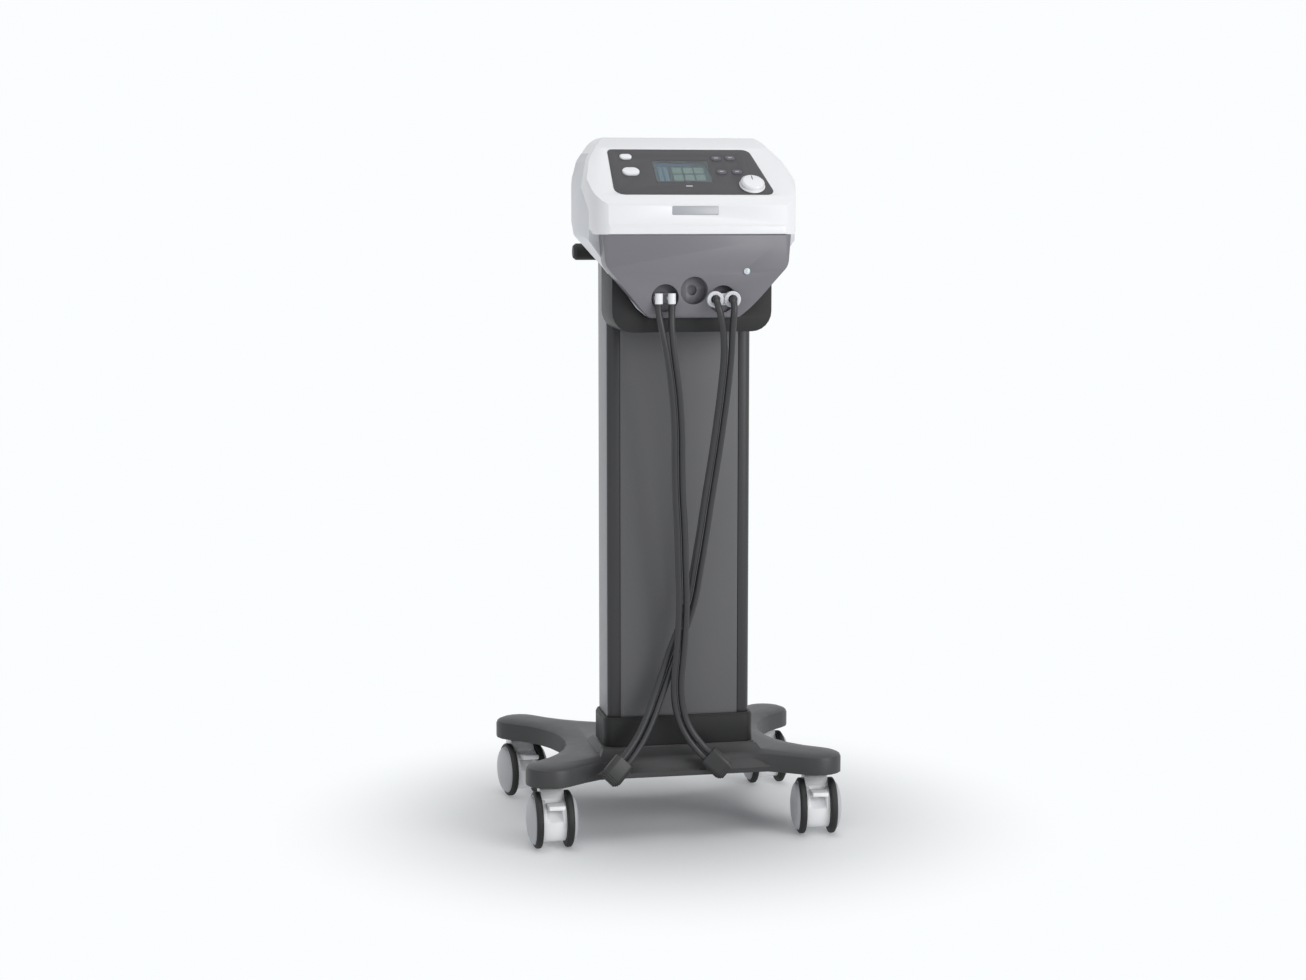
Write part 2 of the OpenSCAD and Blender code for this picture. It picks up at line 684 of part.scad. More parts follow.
module dial() color("white") on_panel() translate([dial_at[0], dial_at[1], 0]) difference() {
    rotate_extrude($fn = smooth)
        polygon([[0, panel_proud + seat], [dial_d / 2 + 1, panel_proud + seat], [dial_d / 2 + 1, 2],
                 [dial_d / 2 - 0.5, 3], [dial_d / 2 - 1.5, dial_h - 2],
                 [dial_d / 2 - 3.5, dial_h], [0, dial_h]]);
    translate([0, 0, -cut]) cylinder(r = dial_shaft_r + running_gap, h = dial_h - 2.5 + cut, $fn = fine);
}

// ---------- console: shells ----------

// Pockets in the chin where the hoses plug in
port_x = -4;
port_z = parting_z - 86;
ports = [[port_x - port_pitch, port_z], [port_x, port_z + 10], [port_x + port_pitch, port_z - 2]];
port_face = -console_reach + 25;          // bottom of the pockets, behind the column's front face
port_wall = 2.5;
port_depth = 8;                           // depth of a socket
port_bottom = 3;                          // wall behind a socket
port_back = port_face + seat + port_depth + port_bottom;

module port_bores(r, y0, y1) {
    for (p = ports)
        translate([p[0], column_y + y1, p[1]]) rotate([90, 0, 0])
            cylinder(r = r, h = y1 - y0, $fn = smooth);
}

module upper_shell() color("white") {
    difference() {
        console_body(white_side, white_front, plan_top);
        console_body(inner_side, mirrored(shrink_open(body_top)), shrink(plan_top, shell_wall));
        on_panel() translate([0, 0, panel_proud - panel_t - 0.05]) linear_extrude(panel_t + 10)
            polygon(rounded(shrink(panel_corners, -0.2), shell_steps));
        on_panel() translate([0, 0, -20]) linear_extrude(30)
            polygon(rounded(shrink(panel_corners, 4), shell_steps));
        badge_cut(0.1);
    }
    difference() {
        screw_posts(true);
        screw_holes();
    }
}

module front_shell() color([0.47, 0.47, 0.50]) {
    difference() {
        union() {
            difference() {
                console_body(chin_side, chin_front, plan_top);
                translate([0, column_y, 0]) intersection() {
                    along_x(console_w) polygon(rounded(chin_hollow, shell_steps));
                    along_y(-console_reach - 5, split_y + 5)
                        polygon(rounded(mirrored([
                            [60, chin_z + shell_wall, 8], [74, chin_z + 13 + shell_wall, 12],
                            [fascia_w / 2 - 11 - shell_wall, parting_z - 41, 22],
                            [fascia_w / 2 - 7 - shell_wall, parting_z + 9, 1]]), shell_steps));
                    along_z(chin_z - 20, crown_z)
                        polygon(rounded(shrink(plan_top, shell_wall), shell_steps));
                }
            }
            intersection() {
                console_body(chin_side, chin_front, plan_top);
                port_bores(port_r + port_wall, -console_reach - 5, port_face);
            }
        }
        port_bores(port_r, -console_reach - 5, port_face + cut);
        lamp_hole(lamp_r + 0.1);
    }
}

chin_hollow = [
    [-console_reach + 25 + shell_wall, chin_z + shell_wall, 6], [split_y + cut, chin_z + shell_wall, 0.5],
    [split_y + cut, parting_z + 9, 0.5], [-console_reach + 1 + shell_wall, parting_z + 9, 2],
    [-console_reach + 3 + shell_wall, parting_z - 48, 38],
    [-console_reach + 10 + shell_wall, chin_z + 27, 18]];

under_wall = shell_wall / cos(under_tilt);      // the wall measured straight up
rear_hollow_side = [
    [split_y + seat + shell_wall, chin_z + 2 + shell_wall, 1], [-69, chin_z + 2 + shell_wall, 6],
    [-62, chin_z + 16, 8], [under_y - 2, under_at(under_y - 2) + under_wall, 10],
    [rear_end - 9, under_at(rear_end - 9) + under_wall, 8], [rear_end - shell_wall, parting_z + 54, 6],
    [rear_end - shell_wall, crown_z + 5, 1], [split_y + seat + shell_wall, crown_z + 5, 1]];

module rear_shell() color([0.74, 0.74, 0.76]) {
    difference() {
        console_body(rear_side, rear_front, plan_top);
        console_body(rear_hollow_side, mirrored(concat(
            [[61, chin_z - 10, 1], [76, chin_z + 15, 12], [console_w / 2 - 31, parting_z - 39, 28]],
            shrink_open(body_top))), shrink(plan_top, shell_wall));
        // window into the front shell
        translate([0, column_y, 0]) along_y(split_y - cut, split_y + seat + shell_wall + cut)
            polygon([[-52, chin_z + 12], [52, chin_z + 12], [110, parting_z - 40], [118, parting_z - 6],
                     [-118, parting_z - 6], [-110, parting_z - 40]]);
        inlet_cut(seat);
        rocker_cut(seat);
        // slots for cooling air
        for (i = [0 : 5])
            on_under() translate([74, 62 + i * 7, -cut]) cube([40, 3, shell_wall + 3 * cut]);
        screw_holes();
    }
    difference() {
        screw_posts(false);
        screw_holes();
    }
}

// A front view's upper part, moved inwards by the shells' wall
function shrink_open(p) = [
    for (q = p)
        let (drop = q[1] > fascia_top + 60 ? shell_wall / 2 : 0)
            [q[0] - shell_wall, q[1] - drop, max(q[2] - shell_wall, 1)]];

// ---------- console: what sits inside ----------

// Origin at the front of the sloping underside, y up along it, z into the console
module on_under() {
    translate([0, column_y + under_y, under_z]) rotate([under_tilt, 0, 0]) children();
}
floor_z = shell_wall + seat;

// Screws that hold the upper and the rear shell together, each inside a post
screw_d = 3;
screw_spots = [[-100, 34], [100, 34], [-112, -30], [112, -30]];
post_z = parting_z + 34;
screw_grip = 10;      // how far a screw reaches into the upper post
screw_seat = 3;       // height of a screw head's lower face over the underside
module screw_holes() {
    r = screw_d / 2 + running_gap;
    for (p = screw_spots)
        translate([p[0], column_y + p[1], under_at(p[1]) - 10]) {
            cylinder(r = r, h = post_z + screw_grip + cut - under_at(p[1]) + 10, $fn = fine);
            cylinder(r = r + 2, h = 10 + screw_seat + 2.6, $fn = fine);
        }
}
// The posts of the upper shell stand on those of the rear shell
module screw_posts(upper) {
    for (p = screw_spots) {
        top = p[1] > 0 ? crown_z - 2 : fascia_top + 52;
        z0 = upper ? post_z + seat : under_at(p[1] + 5);
        translate([p[0], column_y + p[1], z0]) cylinder(r = 5, h = (upper ? top : post_z) - z0, $fn = fine);
    }
}
module case_screws() color("gainsboro")
    for (p = screw_spots)
        translate([p[0], column_y + p[1], under_at(p[1]) + screw_seat]) {
            cylinder(r = screw_d / 2, h = post_z + screw_grip - under_at(p[1]) - screw_seat, $fn = fine);
            cylinder(r = screw_d, h = 2.4, $fn = fine);
        }

module air_compressor() color([0.55, 0.55, 0.55]) on_under() {
    translate([-92, 36, floor_z]) cube([62, 46, 4]);
    translate([-61, 59, floor_z + 27]) rod_x(22, 72);
    translate([-50, 59, floor_z + 27]) cube([20, 40, 40], center = true);
    translate([-88, 50, floor_z + 3.9]) cube([50, 18, 6]);
    translate([-24, 59, floor_z + 27]) rod_x(17, 12);
}

module power_supply() color([0.15, 0.40, 0.22]) on_under() {
    translate([8, 30, floor_z]) cube([54, 74, 1.6]);
    translate([14, 36, floor_z + 1.5]) cube([20, 26, 22]);
    translate([46, 46, floor_z + 1.5]) cylinder(r = 8, h = 26, $fn = fine);
    translate([14, 72, floor_z + 1.5]) cube([34, 22, 18]);
}

valve_z = parting_z - 58;
valve_y = -80;
module valve_block() color([0.80, 0.80, 0.76]) translate([0, column_y, 0]) {
    translate([-62, valve_y, valve_z]) cube([112, 16, 18]);
    for (x = [-27, 13])
        translate([x, valve_y, chin_z + 2 + shell_wall + seat]) cube([6, 7, valve_z - chin_z - 4]);
    for (i = [0 : 3])
        translate([-48 + i * 26, valve_y + 8, valve_z + 17]) {
            cylinder(r = 7.5, h = 22, $fn = fine);
            translate([0, 0, 21]) cylinder(r = 3, h = 5, $fn = fine);
        }
}

// Three sockets in one piece, with an air hole in the bottom of both that are in use;
// the free one's valve is shut
module port_block() color([0.50, 0.50, 0.53]) translate([0, column_y, 0]) difference() {
    union() {
        for (p = ports)
            translate([p[0], port_back, p[1]]) rotate([90, 0, 0])
                cylinder(r = port_r - 0.2, h = port_depth + port_bottom, $fn = smooth);
        along_y(port_back - 5, port_back)
            polygon(rounded(box_corners(ports[0][0] - 10, port_z - 8, ports[2][0] + 10, port_z + 12, 3)));
    }
    for (p = ports)
        translate([p[0], port_back - port_bottom, p[1]]) rotate([90, 0, 0])
            cylinder(r = port_bore / 2, h = port_depth + cut, $fn = fine);
    for (p = [ports[0], ports[2]])
        translate([p[0], port_back + cut, p[1]]) rotate([90, 0, 0])
            cylinder(r = 2, h = port_bottom + 2 * cut, $fn = fine);
}

module inner_tubes() color([0.85, 0.85, 0.85]) translate([0, column_y, 0])
    for (p = ports) {
        start = port_back + seat;
        translate([p[0], start, p[1]]) rotate([-90, 0, 0])
            cylinder(r = 3, h = valve_y + 12 - start, $fn = fine);
        translate([p[0], valve_y + 12, p[1]]) sphere(r = 3, $fn = fine);
        translate([p[0], valve_y + 12, p[1]]) cylinder(r = 3, h = valve_z - seat - p[1], $fn = fine);
    }

// ---------- console: small parts ----------

badge_size = [64, 12];
badge_at = [-4, parting_z + 32];
badge_y = front_y + lip_proud + 1.1;      // bottom of the badge's recess
module badge_cut(g) {
    translate([badge_at[0], badge_y, badge_at[1]]) rotate([90, 0, 0])
        linear_extrude(6) square([badge_size[0] + 2 * g, badge_size[1] + 2 * g], center = true);
}
module badge_plate() color([0.70, 0.71, 0.73])
    translate([badge_at[0], badge_y - 0.05, badge_at[1]]) rotate([90, 0, 0])
        linear_extrude(1) polygon(rounded(box_corners(-badge_size[0] / 2, -badge_size[1] / 2,
                                                      badge_size[0] / 2, badge_size[1] / 2, 2), shell_steps));

lamp_r = 4.5;
lamp_at = [68, parting_z - 50];
module lamp_hole(r) {
    translate([lamp_at[0], front_y - 2, lamp_at[1]]) rotate([-90, 0, 0]) cylinder(r = r, h = 16, $fn = fine);
}
module indicator_lamp() color([0.85, 0.86, 0.88]) translate([lamp_at[0], 0, lamp_at[1]]) {
    translate([0, front_y + 1.4, 0]) rotate([-90, 0, 0]) cylinder(r = lamp_r, h = 9, $fn = fine);
    translate([0, front_y + 8, 0]) rotate([-90, 0, 0]) cylinder(r = lamp_r + 2.5, h = 2.5, $fn = fine);
}

inlet_at = [44, parting_z + 76];
rocker_at = [82, parting_z + 76];
rear_y = column_y + rear_end;
module inlet_cut(g) {
    translate([inlet_at[0], rear_y - 12, inlet_at[1]]) cube([28 + 2 * g, 30, 20 + 2 * g], center = true);
}
module mains_inlet() color([0.10, 0.10, 0.10]) translate([inlet_at[0], rear_y, inlet_at[1]]) difference() {
    union() {
        translate([0, -9.5, 0]) cube([27.4, 20, 19.4], center = true);
        translate([0, seat + 1, 0]) cube([34, 2, 26], center = true);
    }
    translate([0, -3, 0]) cube([22, 16, 14], center = true);
}

rocker_w = 12;
rocker_h = 16;
module rocker_cut(g) {
    translate([rocker_at[0], rear_y - 8, rocker_at[1]])
        cube([rocker_w + 2 * g, 22, rocker_h + 4 + 2 * g], center = true);
}
module mains_switch() color([0.12, 0.12, 0.12]) translate([rocker_at[0], rear_y - 4, rocker_at[1]]) {
    dip = rocker_h / 2 * tan(rocker_travel);     // the middle lies lower, so that either half can lie flush
    rod_x(5, rocker_w);
    along_x(rocker_w)
        polygon([[-4, 1.5 - rocker_h / 2], [3, -rocker_h / 2], [4.4 + dip, -rocker_h / 2], [4.4, 0],
                 [4.4 + dip, rocker_h / 2], [3, rocker_h / 2], [-4, rocker_h / 2 - 1.5]]);
}

// ---------- cradle ----------

// The cradle seen from the front, from the bottom of its tray up to z1
function tray_corners(z0, z1) = [
    [-cradle_w / 2, z0, 28], [cradle_w / 2, z0, 28], [cradle_w / 2, z1, 1], [-cradle_w / 2, z1, 1]];

module console_cradle() color([0.15, 0.15, 0.16]) {
    back = -front_panel_proud - seat;
    front = 1 - cradle_reach;
    flange_z = column_top + seat;
    top = flange_z + cradle_wall;
    tray_z = top - cradle_h;
    wedge_gap = seat / cos(under_tilt);
    difference() {
        translate([0, column_y, 0]) along_y(front, back)
            polygon(rounded(tray_corners(tray_z, top)));
        translate([0, column_y, 0]) along_y(front + cradle_wall, back - cradle_wall)
            polygon(rounded(shrink(tray_corners(tray_z, top + 20), cradle_wall)));
        // room for the console
        translate([0, column_y, 0]) intersection() {
            along_x(console_w) polygon(rounded(shrink(rear_side, -1), shell_steps));
            along_y(-console_reach, rear_end) polygon(rounded(shrink(rear_front, -1), shell_steps));
        }
    }
    // flange on the column's top, and the wedge that carries the console
    difference() {
        along_z(flange_z, top)
            polygon(rounded(box_corners(-column_w / 2 + 1, column_y + back - 1,
                                        column_w / 2 - 1, column_y + column_d - 1, 6)));
        for (p = column_bosses)
            translate([p[0], p[1], flange_z - cut])
                cylinder(r = column_bolt_d / 2 + bolt_gap, h = cradle_wall + 2 * cut, $fn = fine);
    }
    for (x = [-60, 60])
        translate([x, column_y, 0]) along_x(8)
            polygon([[4, top - 0.1], [column_d - 4, top - 0.1],
                     [column_d - 4, under_at(column_d - 4) - wedge_gap], [4, under_at(4) - wedge_gap]]);
}

// ---------- casters ----------

module at_caster(c) {
    translate([c[1] * leg_x, stems_y + c[2] * leg_y, 0]) rotate([0, 0, c[3]]) children();
}

hood_r = wheel_r - 9;
hood_top = wheel_d + 3;
pedal_y = -trail - 13;
pedal_z = wheel_r + 22;
stem_foot = wheel_r + 18;

module stem() {
    translate([0, 0, stem_foot]) cylinder(r = stem_d / 2, h = rim_z + leg_h - 8 - stem_foot, $fn = fine);
    // hexagon between the caster and the base
    translate([0, 0, hood_top + seat])
        cylinder(r = stem_d * 0.85, h = rim_z + 1 - hood_top - 2 * seat, $fn = 6);
}

module caster_stems() color("silver")
    for (c = CASTERS)
        at_caster(c) stem();

module hood(c) color([0.90, 0.90, 0.91]) at_caster(c) difference() {
    union() {
        translate([0, -trail, wheel_r]) rod_x(hood_r, hood_w);
        along_x(hood_w)
            polygon(rounded([[-trail, wheel_r, 1], [15, wheel_r + 4, 6], [15, hood_top, 3],
                             [-13, hood_top, 6], [-trail - 8, wheel_r + hood_r - 1, 3]]));
    }
    translate([0, 0, stem_foot - 2]) cylinder(r = stem_d / 2 + running_gap, h = 60, $fn = fine);
    translate([0, -trail, wheel_r]) rod_x(axle_d / 2 + running_gap, hood_w + 2 * cut);
    // slot for the brake pedal
    slot_start = pedal_y + 6;
    slot_end = -trail - wheel_r - 5;
    slot_drop = (slot_start - slot_end) * tan(pedal_travel + 9);
    along_x(pedal_w + 4 * seat)
        polygon([[slot_start, wheel_d + 5], [slot_start, pedal_z - 8],
                 [slot_end, pedal_z - 8 - slot_drop], [slot_end, wheel_d + 5]]);
    translate([0, pedal_y, pedal_z]) rod_x(2.5 + running_gap, hood_w - 3);
}

module axle(c) color("silver") at_caster(c)
    translate([0, -trail, wheel_r]) rod_x(axle_d / 2, hood_w + 2 * 0.5 + 2 * (wheel_w - 4));

module wheel(c, side) color([0.10, 0.10, 0.10]) at_caster(c)
    translate([side * (hood_w / 2 + 0.5), -trail, wheel_r]) rotate([0, side * 90, 0])
        rotate_extrude($fn = smooth)
            polygon(concat(
                [[axle_d / 2 + running_gap, 0], [axle_d / 2 + 5, 0], [axle_d / 2 + 7, 3], [wheel_r - 12, 3],
                 [wheel_r - 9, 0]],
                arc([wheel_r - 3, 3], 3, -90, 0, 5),
                arc([wheel_r - 3, tread_w - 3], 3, 0, 60, 3),
                [[wheel_r - 4, tread_w + 1], [wheel_r - 5, tread_w + 0.4]],
                [for (k = [0 : 10])
                    let (a = 90 * k / 10)
                        [(wheel_r - 6) * cos(a), tread_w + 1 + (wheel_w + hub_bulge - tread_w - 1) * sin(a)]],
                [[0, wheel_w - 3.5], [axle_d / 2 + running_gap, wheel_w - 3.5]]));

module brake_pedal(c) color([0.93, 0.93, 0.94]) at_caster(c) {
    translate([0, pedal_y, pedal_z]) rod_x(5, pedal_w);
    translate([0, pedal_y, pedal_z]) rod_x(2.5, hood_w - 4);
    along_x(pedal_w)
        polygon(rounded([[pedal_y, pedal_z - 4, 1], [pedal_y, pedal_z + 5, 1],
                         [pedal_y - 34, pedal_z + 8, 1.5], [pedal_y - 37, pedal_z + 5, 2],
                         [pedal_y - 34, pedal_z + 2, 1]]));
}

// ---------- hoses ----------

// Middle of each hose pair, with half the way between its two tubes: [x, y, z, dx, dz].
// y is counted from the column's front face.
left_route = [
    [-44, -112, 764, 9, 0], [-44, -112, 752, 9, 0], [-42, -113, 730, 7, 0], [-37, -111, 700, 5.4, 0],
    [-31, -107, 665, 5.1, 0], [-26, -101, 632, 5.1, 0], [-22, -94, 590, 5.1, 0], [-20, -87, 545, 5.1, 0],
    [-18, -82, 500, 5.1, 0], [-14, -76, 450, 5.1, 0], [-11, -69, 400, 5.1, 0], [-8, -62, 350, 5.1, 0],
    [-8, -56, 305, 5.1, 0], [-10, -51, 265, 5.1, 0], [-12, -46, 230, 5.1, 0], [-10, -42, 198, 5.1, 0.8],
    [-3, -40, 170, 4.8, 1.6], [9, -41, 147, 4.3, 2.8], [24, -44, 128, 3.6, 3.84], [32, -47, 120.5, 3.6, 3.84]];
right_route = [
    [36, -114, 770, 12, 0], [36, -122, 770, 12, 0], [36, -128, 766, 11.6, 0], [37, -131, 758, 10.8, 0],
    [38, -131, 748, 9, 0], [40, -127, 727, 6.4, 0], [42, -117, 692, 5.2, 0], [41, -105, 650, 5.1, 0],
    [38, -94, 605, 5.1, 0], [33, -85, 555, 5.1, 0], [26, -74, 495, 5.1, -0.6], [20, -64, 440, 5.1, -0.8],
    [14, -54, 390, 5.1, -0.8], [8, -44, 345, 5, -1.4], [-3, -37, 305, 4.8, -1.8], [-16, -35, 270, 4.7, -2.1],
    [-28, -35, 235, 4.7, -2.1], [-40, -37, 203, 4.6, -2.2], [-53, -43, 173, 4.4, -2.6],
    [-68, -50, 147, 4.1, -3.1], [-84, -57, 127, 3.7, -3.7], [-91, -59.5, 120, 3.7, -3.7]];

// A tube with eight sides through a list of points
hose_sides = 8;
module swept_tube(path, d) {
    n = len(path);
    dirs = [for (i = [0 : n - 1]) unit(path[min(i + 1, n - 1)] - path[max(i - 1, 0)])];
    across = [for (t = dirs) unit(cross(t, [0, 1, 0]) + [0.001, 0, 0])];
    points = [for (i = [0 : n - 1]) for (k = [0 : hose_sides - 1])
        let (a = 360 * (k + 0.5) / hose_sides, v = cross(dirs[i], across[i]))
            path[i] + d / 2 * (cos(a) * across[i] + sin(a) * v)];
    sides = [for (i = [0 : n - 2]) for (k = [0 : hose_sides - 1])
        let (a = i * hose_sides, j = (k + 1) % hose_sides, b = a + hose_sides) each
            [[a + k, a + j, b + k], [a + j, b + j, b + k]]];
    caps = [[for (k = [hose_sides - 1 : -1 : 0]) k],
            [for (k = [0 : hose_sides - 1]) (n - 1) * hose_sides + k]];
    polyhedron(points, concat(sides, caps));
}

module hose_pair(route) {
    for (s = [-1, 1])
        swept_tube([for (p = route) [p[0] + s * p[3], column_y + p[1], p[2] + s * p[4]]], tube_d);
}

module left_hose() color([0.20, 0.20, 0.20]) hose_pair(left_route);
module right_hose() color([0.20, 0.20, 0.20]) hose_pair(right_route);

// Plug of the left pair, with a nozzle for each tube
nozzle_y = -112;
nozzle_r = 5.4;
plug_shaft_r = port_bore / 2 - 0.1;
module left_hose_plug() color("white") translate([0, column_y, 0]) {
    p = ports[0];
    translate([p[0], port_face + 6, p[1]]) rotate([90, 0, 0]) cylinder(r = plug_shaft_r, h = 8, $fn = fine);
    along_y(port_face - 7, port_face - 2 * seat)
        polygon(rounded(box_corners(p[0] - 16, p[1] - 7, p[0] + 16, p[1] + 7, 5)));
    for (x = [p[0] - 9, p[0] + 9]) {
        translate([x, port_face - 6.9, p[1]]) rotate([90, 0, 0])
            cylinder(r = nozzle_r, h = port_face - 6.9 - nozzle_y, $fn = fine);
        translate([x, nozzle_y, p[1] - 8]) cylinder(r = nozzle_r, h = 14.5, $fn = fine);
    }
}

// Plug of the right pair, with a round socket for each tube
module right_hose_plug() color([0.78, 0.78, 0.80]) translate([0, column_y, 0]) {
    p = ports[2];
    translate([p[0], port_face + 6, p[1]]) rotate([90, 0, 0]) cylinder(r = plug_shaft_r, h = 8, $fn = fine);
    difference() {
        union() {
            along_y(port_face - 18, port_face - 2 * seat)
                polygon(rounded(box_corners(p[0] - 15, p[1] - 8, p[0] + 15, p[1] + 8, 7)));
            for (x = [p[0] - 12, p[0] + 12])
                translate([x, port_face - 17.5, p[1]]) rotate([90, 0, 0])
                    cylinder(r = 11.2, h = 7.4, $fn = fine);
        }
        for (x = [p[0] - 12, p[0] + 12])
            translate([x, port_face - 18, p[1]]) rotate([90, 0, 0]) cylinder(r = 6.4, h = 10, $fn = fine);
    }
}

// Coupling at a pair's free end, in line with its last stretch
coupling_w = 32;
coupling_t = 16;
coupling_len = 30;
module coupling(route) color([0.10, 0.10, 0.10]) {
    n = len(route);
    p = route[n - 1];
    q = route[n - 2];
    d = unit([p[0] - q[0], p[1] - q[1], p[2] - q[2]]);
    spread = [p[3], 0, p[4]];
    w = unit(spread - (spread * d) * d);
    v = cross(d, w);
    multmatrix([[w[0], v[0], d[0], p[0]], [w[1], v[1], d[1], column_y + p[1]],
                [w[2], v[2], d[2], p[2]], [0, 0, 0, 1]]) {
        // its far end is rounded in steps of [length past the full section, inset]
        for (s = [[0, 0], [3, 1], [5.5, 2.8], [7.5, 5.2]])
            linear_extrude(coupling_len + s[0]) pill([coupling_w, coupling_t], -s[1]);
    }
}

module left_coupling() coupling(left_route);
module right_coupling() coupling(right_route);

base_cover();
base_frame();
column_profile();
column_front_panel();
column_collar();
column_bolts();
console_cradle();
push_handle();
caster_stems();
hood(CASTERS[0]);  // fl_hood
axle(CASTERS[0]);  // fl_axle
wheel(CASTERS[0], -1);  // fl_left_wheel
wheel(CASTERS[0], 1);  // fl_right_wheel
brake_pedal(CASTERS[0]);  // fl_brake_pedal
hood(CASTERS[1]);  // fr_hood
axle(CASTERS[1]);  // fr_axle
wheel(CASTERS[1], -1);  // fr_left_wheel
wheel(CASTERS[1], 1);  // fr_right_wheel
brake_pedal(CASTERS[1]);  // fr_brake_pedal
hood(CASTERS[2]);  // rl_hood
axle(CASTERS[2]);  // rl_axle
wheel(CASTERS[2], -1);  // rl_left_wheel
wheel(CASTERS[2], 1);  // rl_right_wheel
brake_pedal(CASTERS[2]);  // rl_brake_pedal
hood(CASTERS[3]);  // rr_hood
axle(CASTERS[3]);  // rr_axle
wheel(CASTERS[3], -1);  // rr_left_wheel
wheel(CASTERS[3], 1);  // rr_right_wheel
brake_pedal(CASTERS[3]);  // rr_brake_pedal
upper_shell();
front_shell();
rear_shell();
control_panel();
display_window();
display_module();
control_board();
air_compressor();
valve_block();
power_supply();
inner_tubes();
port_block();
badge_plate();
indicator_lamp();
case_screws();
mains_inlet();
mains_switch();
power_button();
start_button();
key_1();
key_2();
key_3();
key_4();
dial();
left_hose_plug();
right_hose_plug();
left_hose();
right_hose();
left_coupling();
right_coupling();
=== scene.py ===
"""Looks of a compression therapy pump: a console on a rolling column stand, with two pairs of air hoses.

Metres, +Z up, the console's front towards -Y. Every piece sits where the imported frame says.
"""
import json
import math

import bmesh
import bpy
from mathutils import Matrix, Vector


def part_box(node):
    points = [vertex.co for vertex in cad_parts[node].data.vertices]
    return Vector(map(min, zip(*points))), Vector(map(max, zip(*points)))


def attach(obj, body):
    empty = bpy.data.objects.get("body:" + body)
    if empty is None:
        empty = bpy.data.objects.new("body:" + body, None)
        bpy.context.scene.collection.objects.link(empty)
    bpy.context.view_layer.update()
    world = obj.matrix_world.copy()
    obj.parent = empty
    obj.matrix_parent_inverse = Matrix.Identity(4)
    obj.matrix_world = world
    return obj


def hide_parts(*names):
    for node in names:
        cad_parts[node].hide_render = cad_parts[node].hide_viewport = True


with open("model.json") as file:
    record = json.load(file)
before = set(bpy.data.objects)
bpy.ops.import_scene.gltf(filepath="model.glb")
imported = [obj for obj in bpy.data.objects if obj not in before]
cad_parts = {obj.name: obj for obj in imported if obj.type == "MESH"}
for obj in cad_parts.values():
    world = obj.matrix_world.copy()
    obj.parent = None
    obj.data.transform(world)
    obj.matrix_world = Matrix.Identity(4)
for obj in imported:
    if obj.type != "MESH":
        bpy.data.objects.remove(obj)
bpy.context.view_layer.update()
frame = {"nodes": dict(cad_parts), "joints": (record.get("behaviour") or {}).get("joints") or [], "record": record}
NODES = frame["nodes"]
BODY_OF = {node: body for body, members in frame["record"]["behaviour"]["bodies"].items() for node in members}
MM = 0.001


# ---------- sizes that the looks share with the frame ----------

COLUMN_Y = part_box("column_profile")[0].y           # the column's front face
CONSOLE_REACH = 0.121                              # from the column's front face to the console's front
PARTING_Z = 0.858                                  # lower edge of the white front
FASCIA_TOP = PARTING_Z + 0.051                     # front edge of the sloping top
SLOPE_SET_BACK = 0.013                             # from the console's front to the sloping top
PANEL_SLOPE = math.atan(68 / 94)
PANEL_START = 0.004                                # from the slope's front edge to the panel's
PANEL_PROUD = 0.0006                               # how far the panel stands over the shell
# Origin at the panel's front edge, x to the right, y up the slope, z out of it
PANEL_FRAME = (Matrix.Translation((0, COLUMN_Y - CONSOLE_REACH + SLOPE_SET_BACK, FASCIA_TOP))
               @ Matrix.Rotation(PANEL_SLOPE, 4, "X") @ Matrix.Translation((0, PANEL_START, 0)))
DISPLAY_AT = Vector((-0.010, 0.054, 0))            # places on the panel, in its frame
DISPLAY_SIZE = (0.078, 0.050)
DIAL_AT = Vector((0.082, 0.020, 0))
KEYS = {"key_1": (0.043, 0.084), "key_2": (0.063, 0.085), "key_3": (0.045, 0.052), "key_4": (0.067, 0.052)}
KEY_MARK_SIZE = (0.0052, 0.0014, 0.0002)
TUBE_D = 0.0094
SLEEVE_R = 0.0078                                  # reach of a plug's white sleeve from its tube's middle
SLEEVE_BACK = 0.1035                               # from the column's front face to the sleeves' back
WHEEL_R = 0.040
TREAD_SEEN = 0.0050                                # black ring left round a wheel's grey cover
COLUMN_SIDE_X = 0.1032                             # beyond this the column's face is a side wall
BACKDROP = (0.965, 0.985, 0.995, 1)              # the studio's white, very slightly cool


# ---------- camera and light ----------

CAMERA_LENS = 63.4
CAMERA_PLACE = (-0.6889, COLUMN_Y - 3.1703, 0.8884)
CAMERA_PITCH, CAMERA_TURN = 83.1, -11.6            # degrees
# name: place, target, size, power
SOFTBOXES = {
    "key_softbox": ((2.3, -3.2, 1.5), (0, 0, 0.4), (2.2, 2.2), 66),
    "fill_softbox": ((-2.0, -3.4, 1.2), (0, 0, 0.45), (2.0, 2.0), 6),
    "top_softbox": ((0.1, -0.5, 3.2), (0, 0, 0), (2.6, 2.6), 30),
}
SKY_TINT = (0.92, 0.96, 1.0, 1)
SKY_STRENGTH = 0.24
FLOOR_R = 24
FLOOR_Z = -0.0002
FADE_FROM, FADE_TO = 0.10, 0.60                    # the floor turns from shaded to plain white


def add_camera():
    data = bpy.data.cameras.new("photo_camera")
    data.sensor_width = 36
    data.lens = CAMERA_LENS
    data.clip_end = 60
    camera = bpy.data.objects.new("photo_camera", data)
    bpy.context.scene.collection.objects.link(camera)
    camera.location = CAMERA_PLACE
    camera.rotation_euler = (math.radians(CAMERA_PITCH), 0, math.radians(CAMERA_TURN))
    bpy.context.scene.camera = camera


def add_lamp(name, place, target, size, power):
    data = bpy.data.lights.new(name, "AREA")
    data.shape = "RECTANGLE"
    data.size, data.size_y = size
    data.energy = power
    lamp = bpy.data.objects.new(name, data)
    bpy.context.scene.collection.objects.link(lamp)
    lamp.location = place
    lamp.rotation_euler = (Vector(target) - Vector(place)).to_track_quat("-Z", "Y").to_euler()


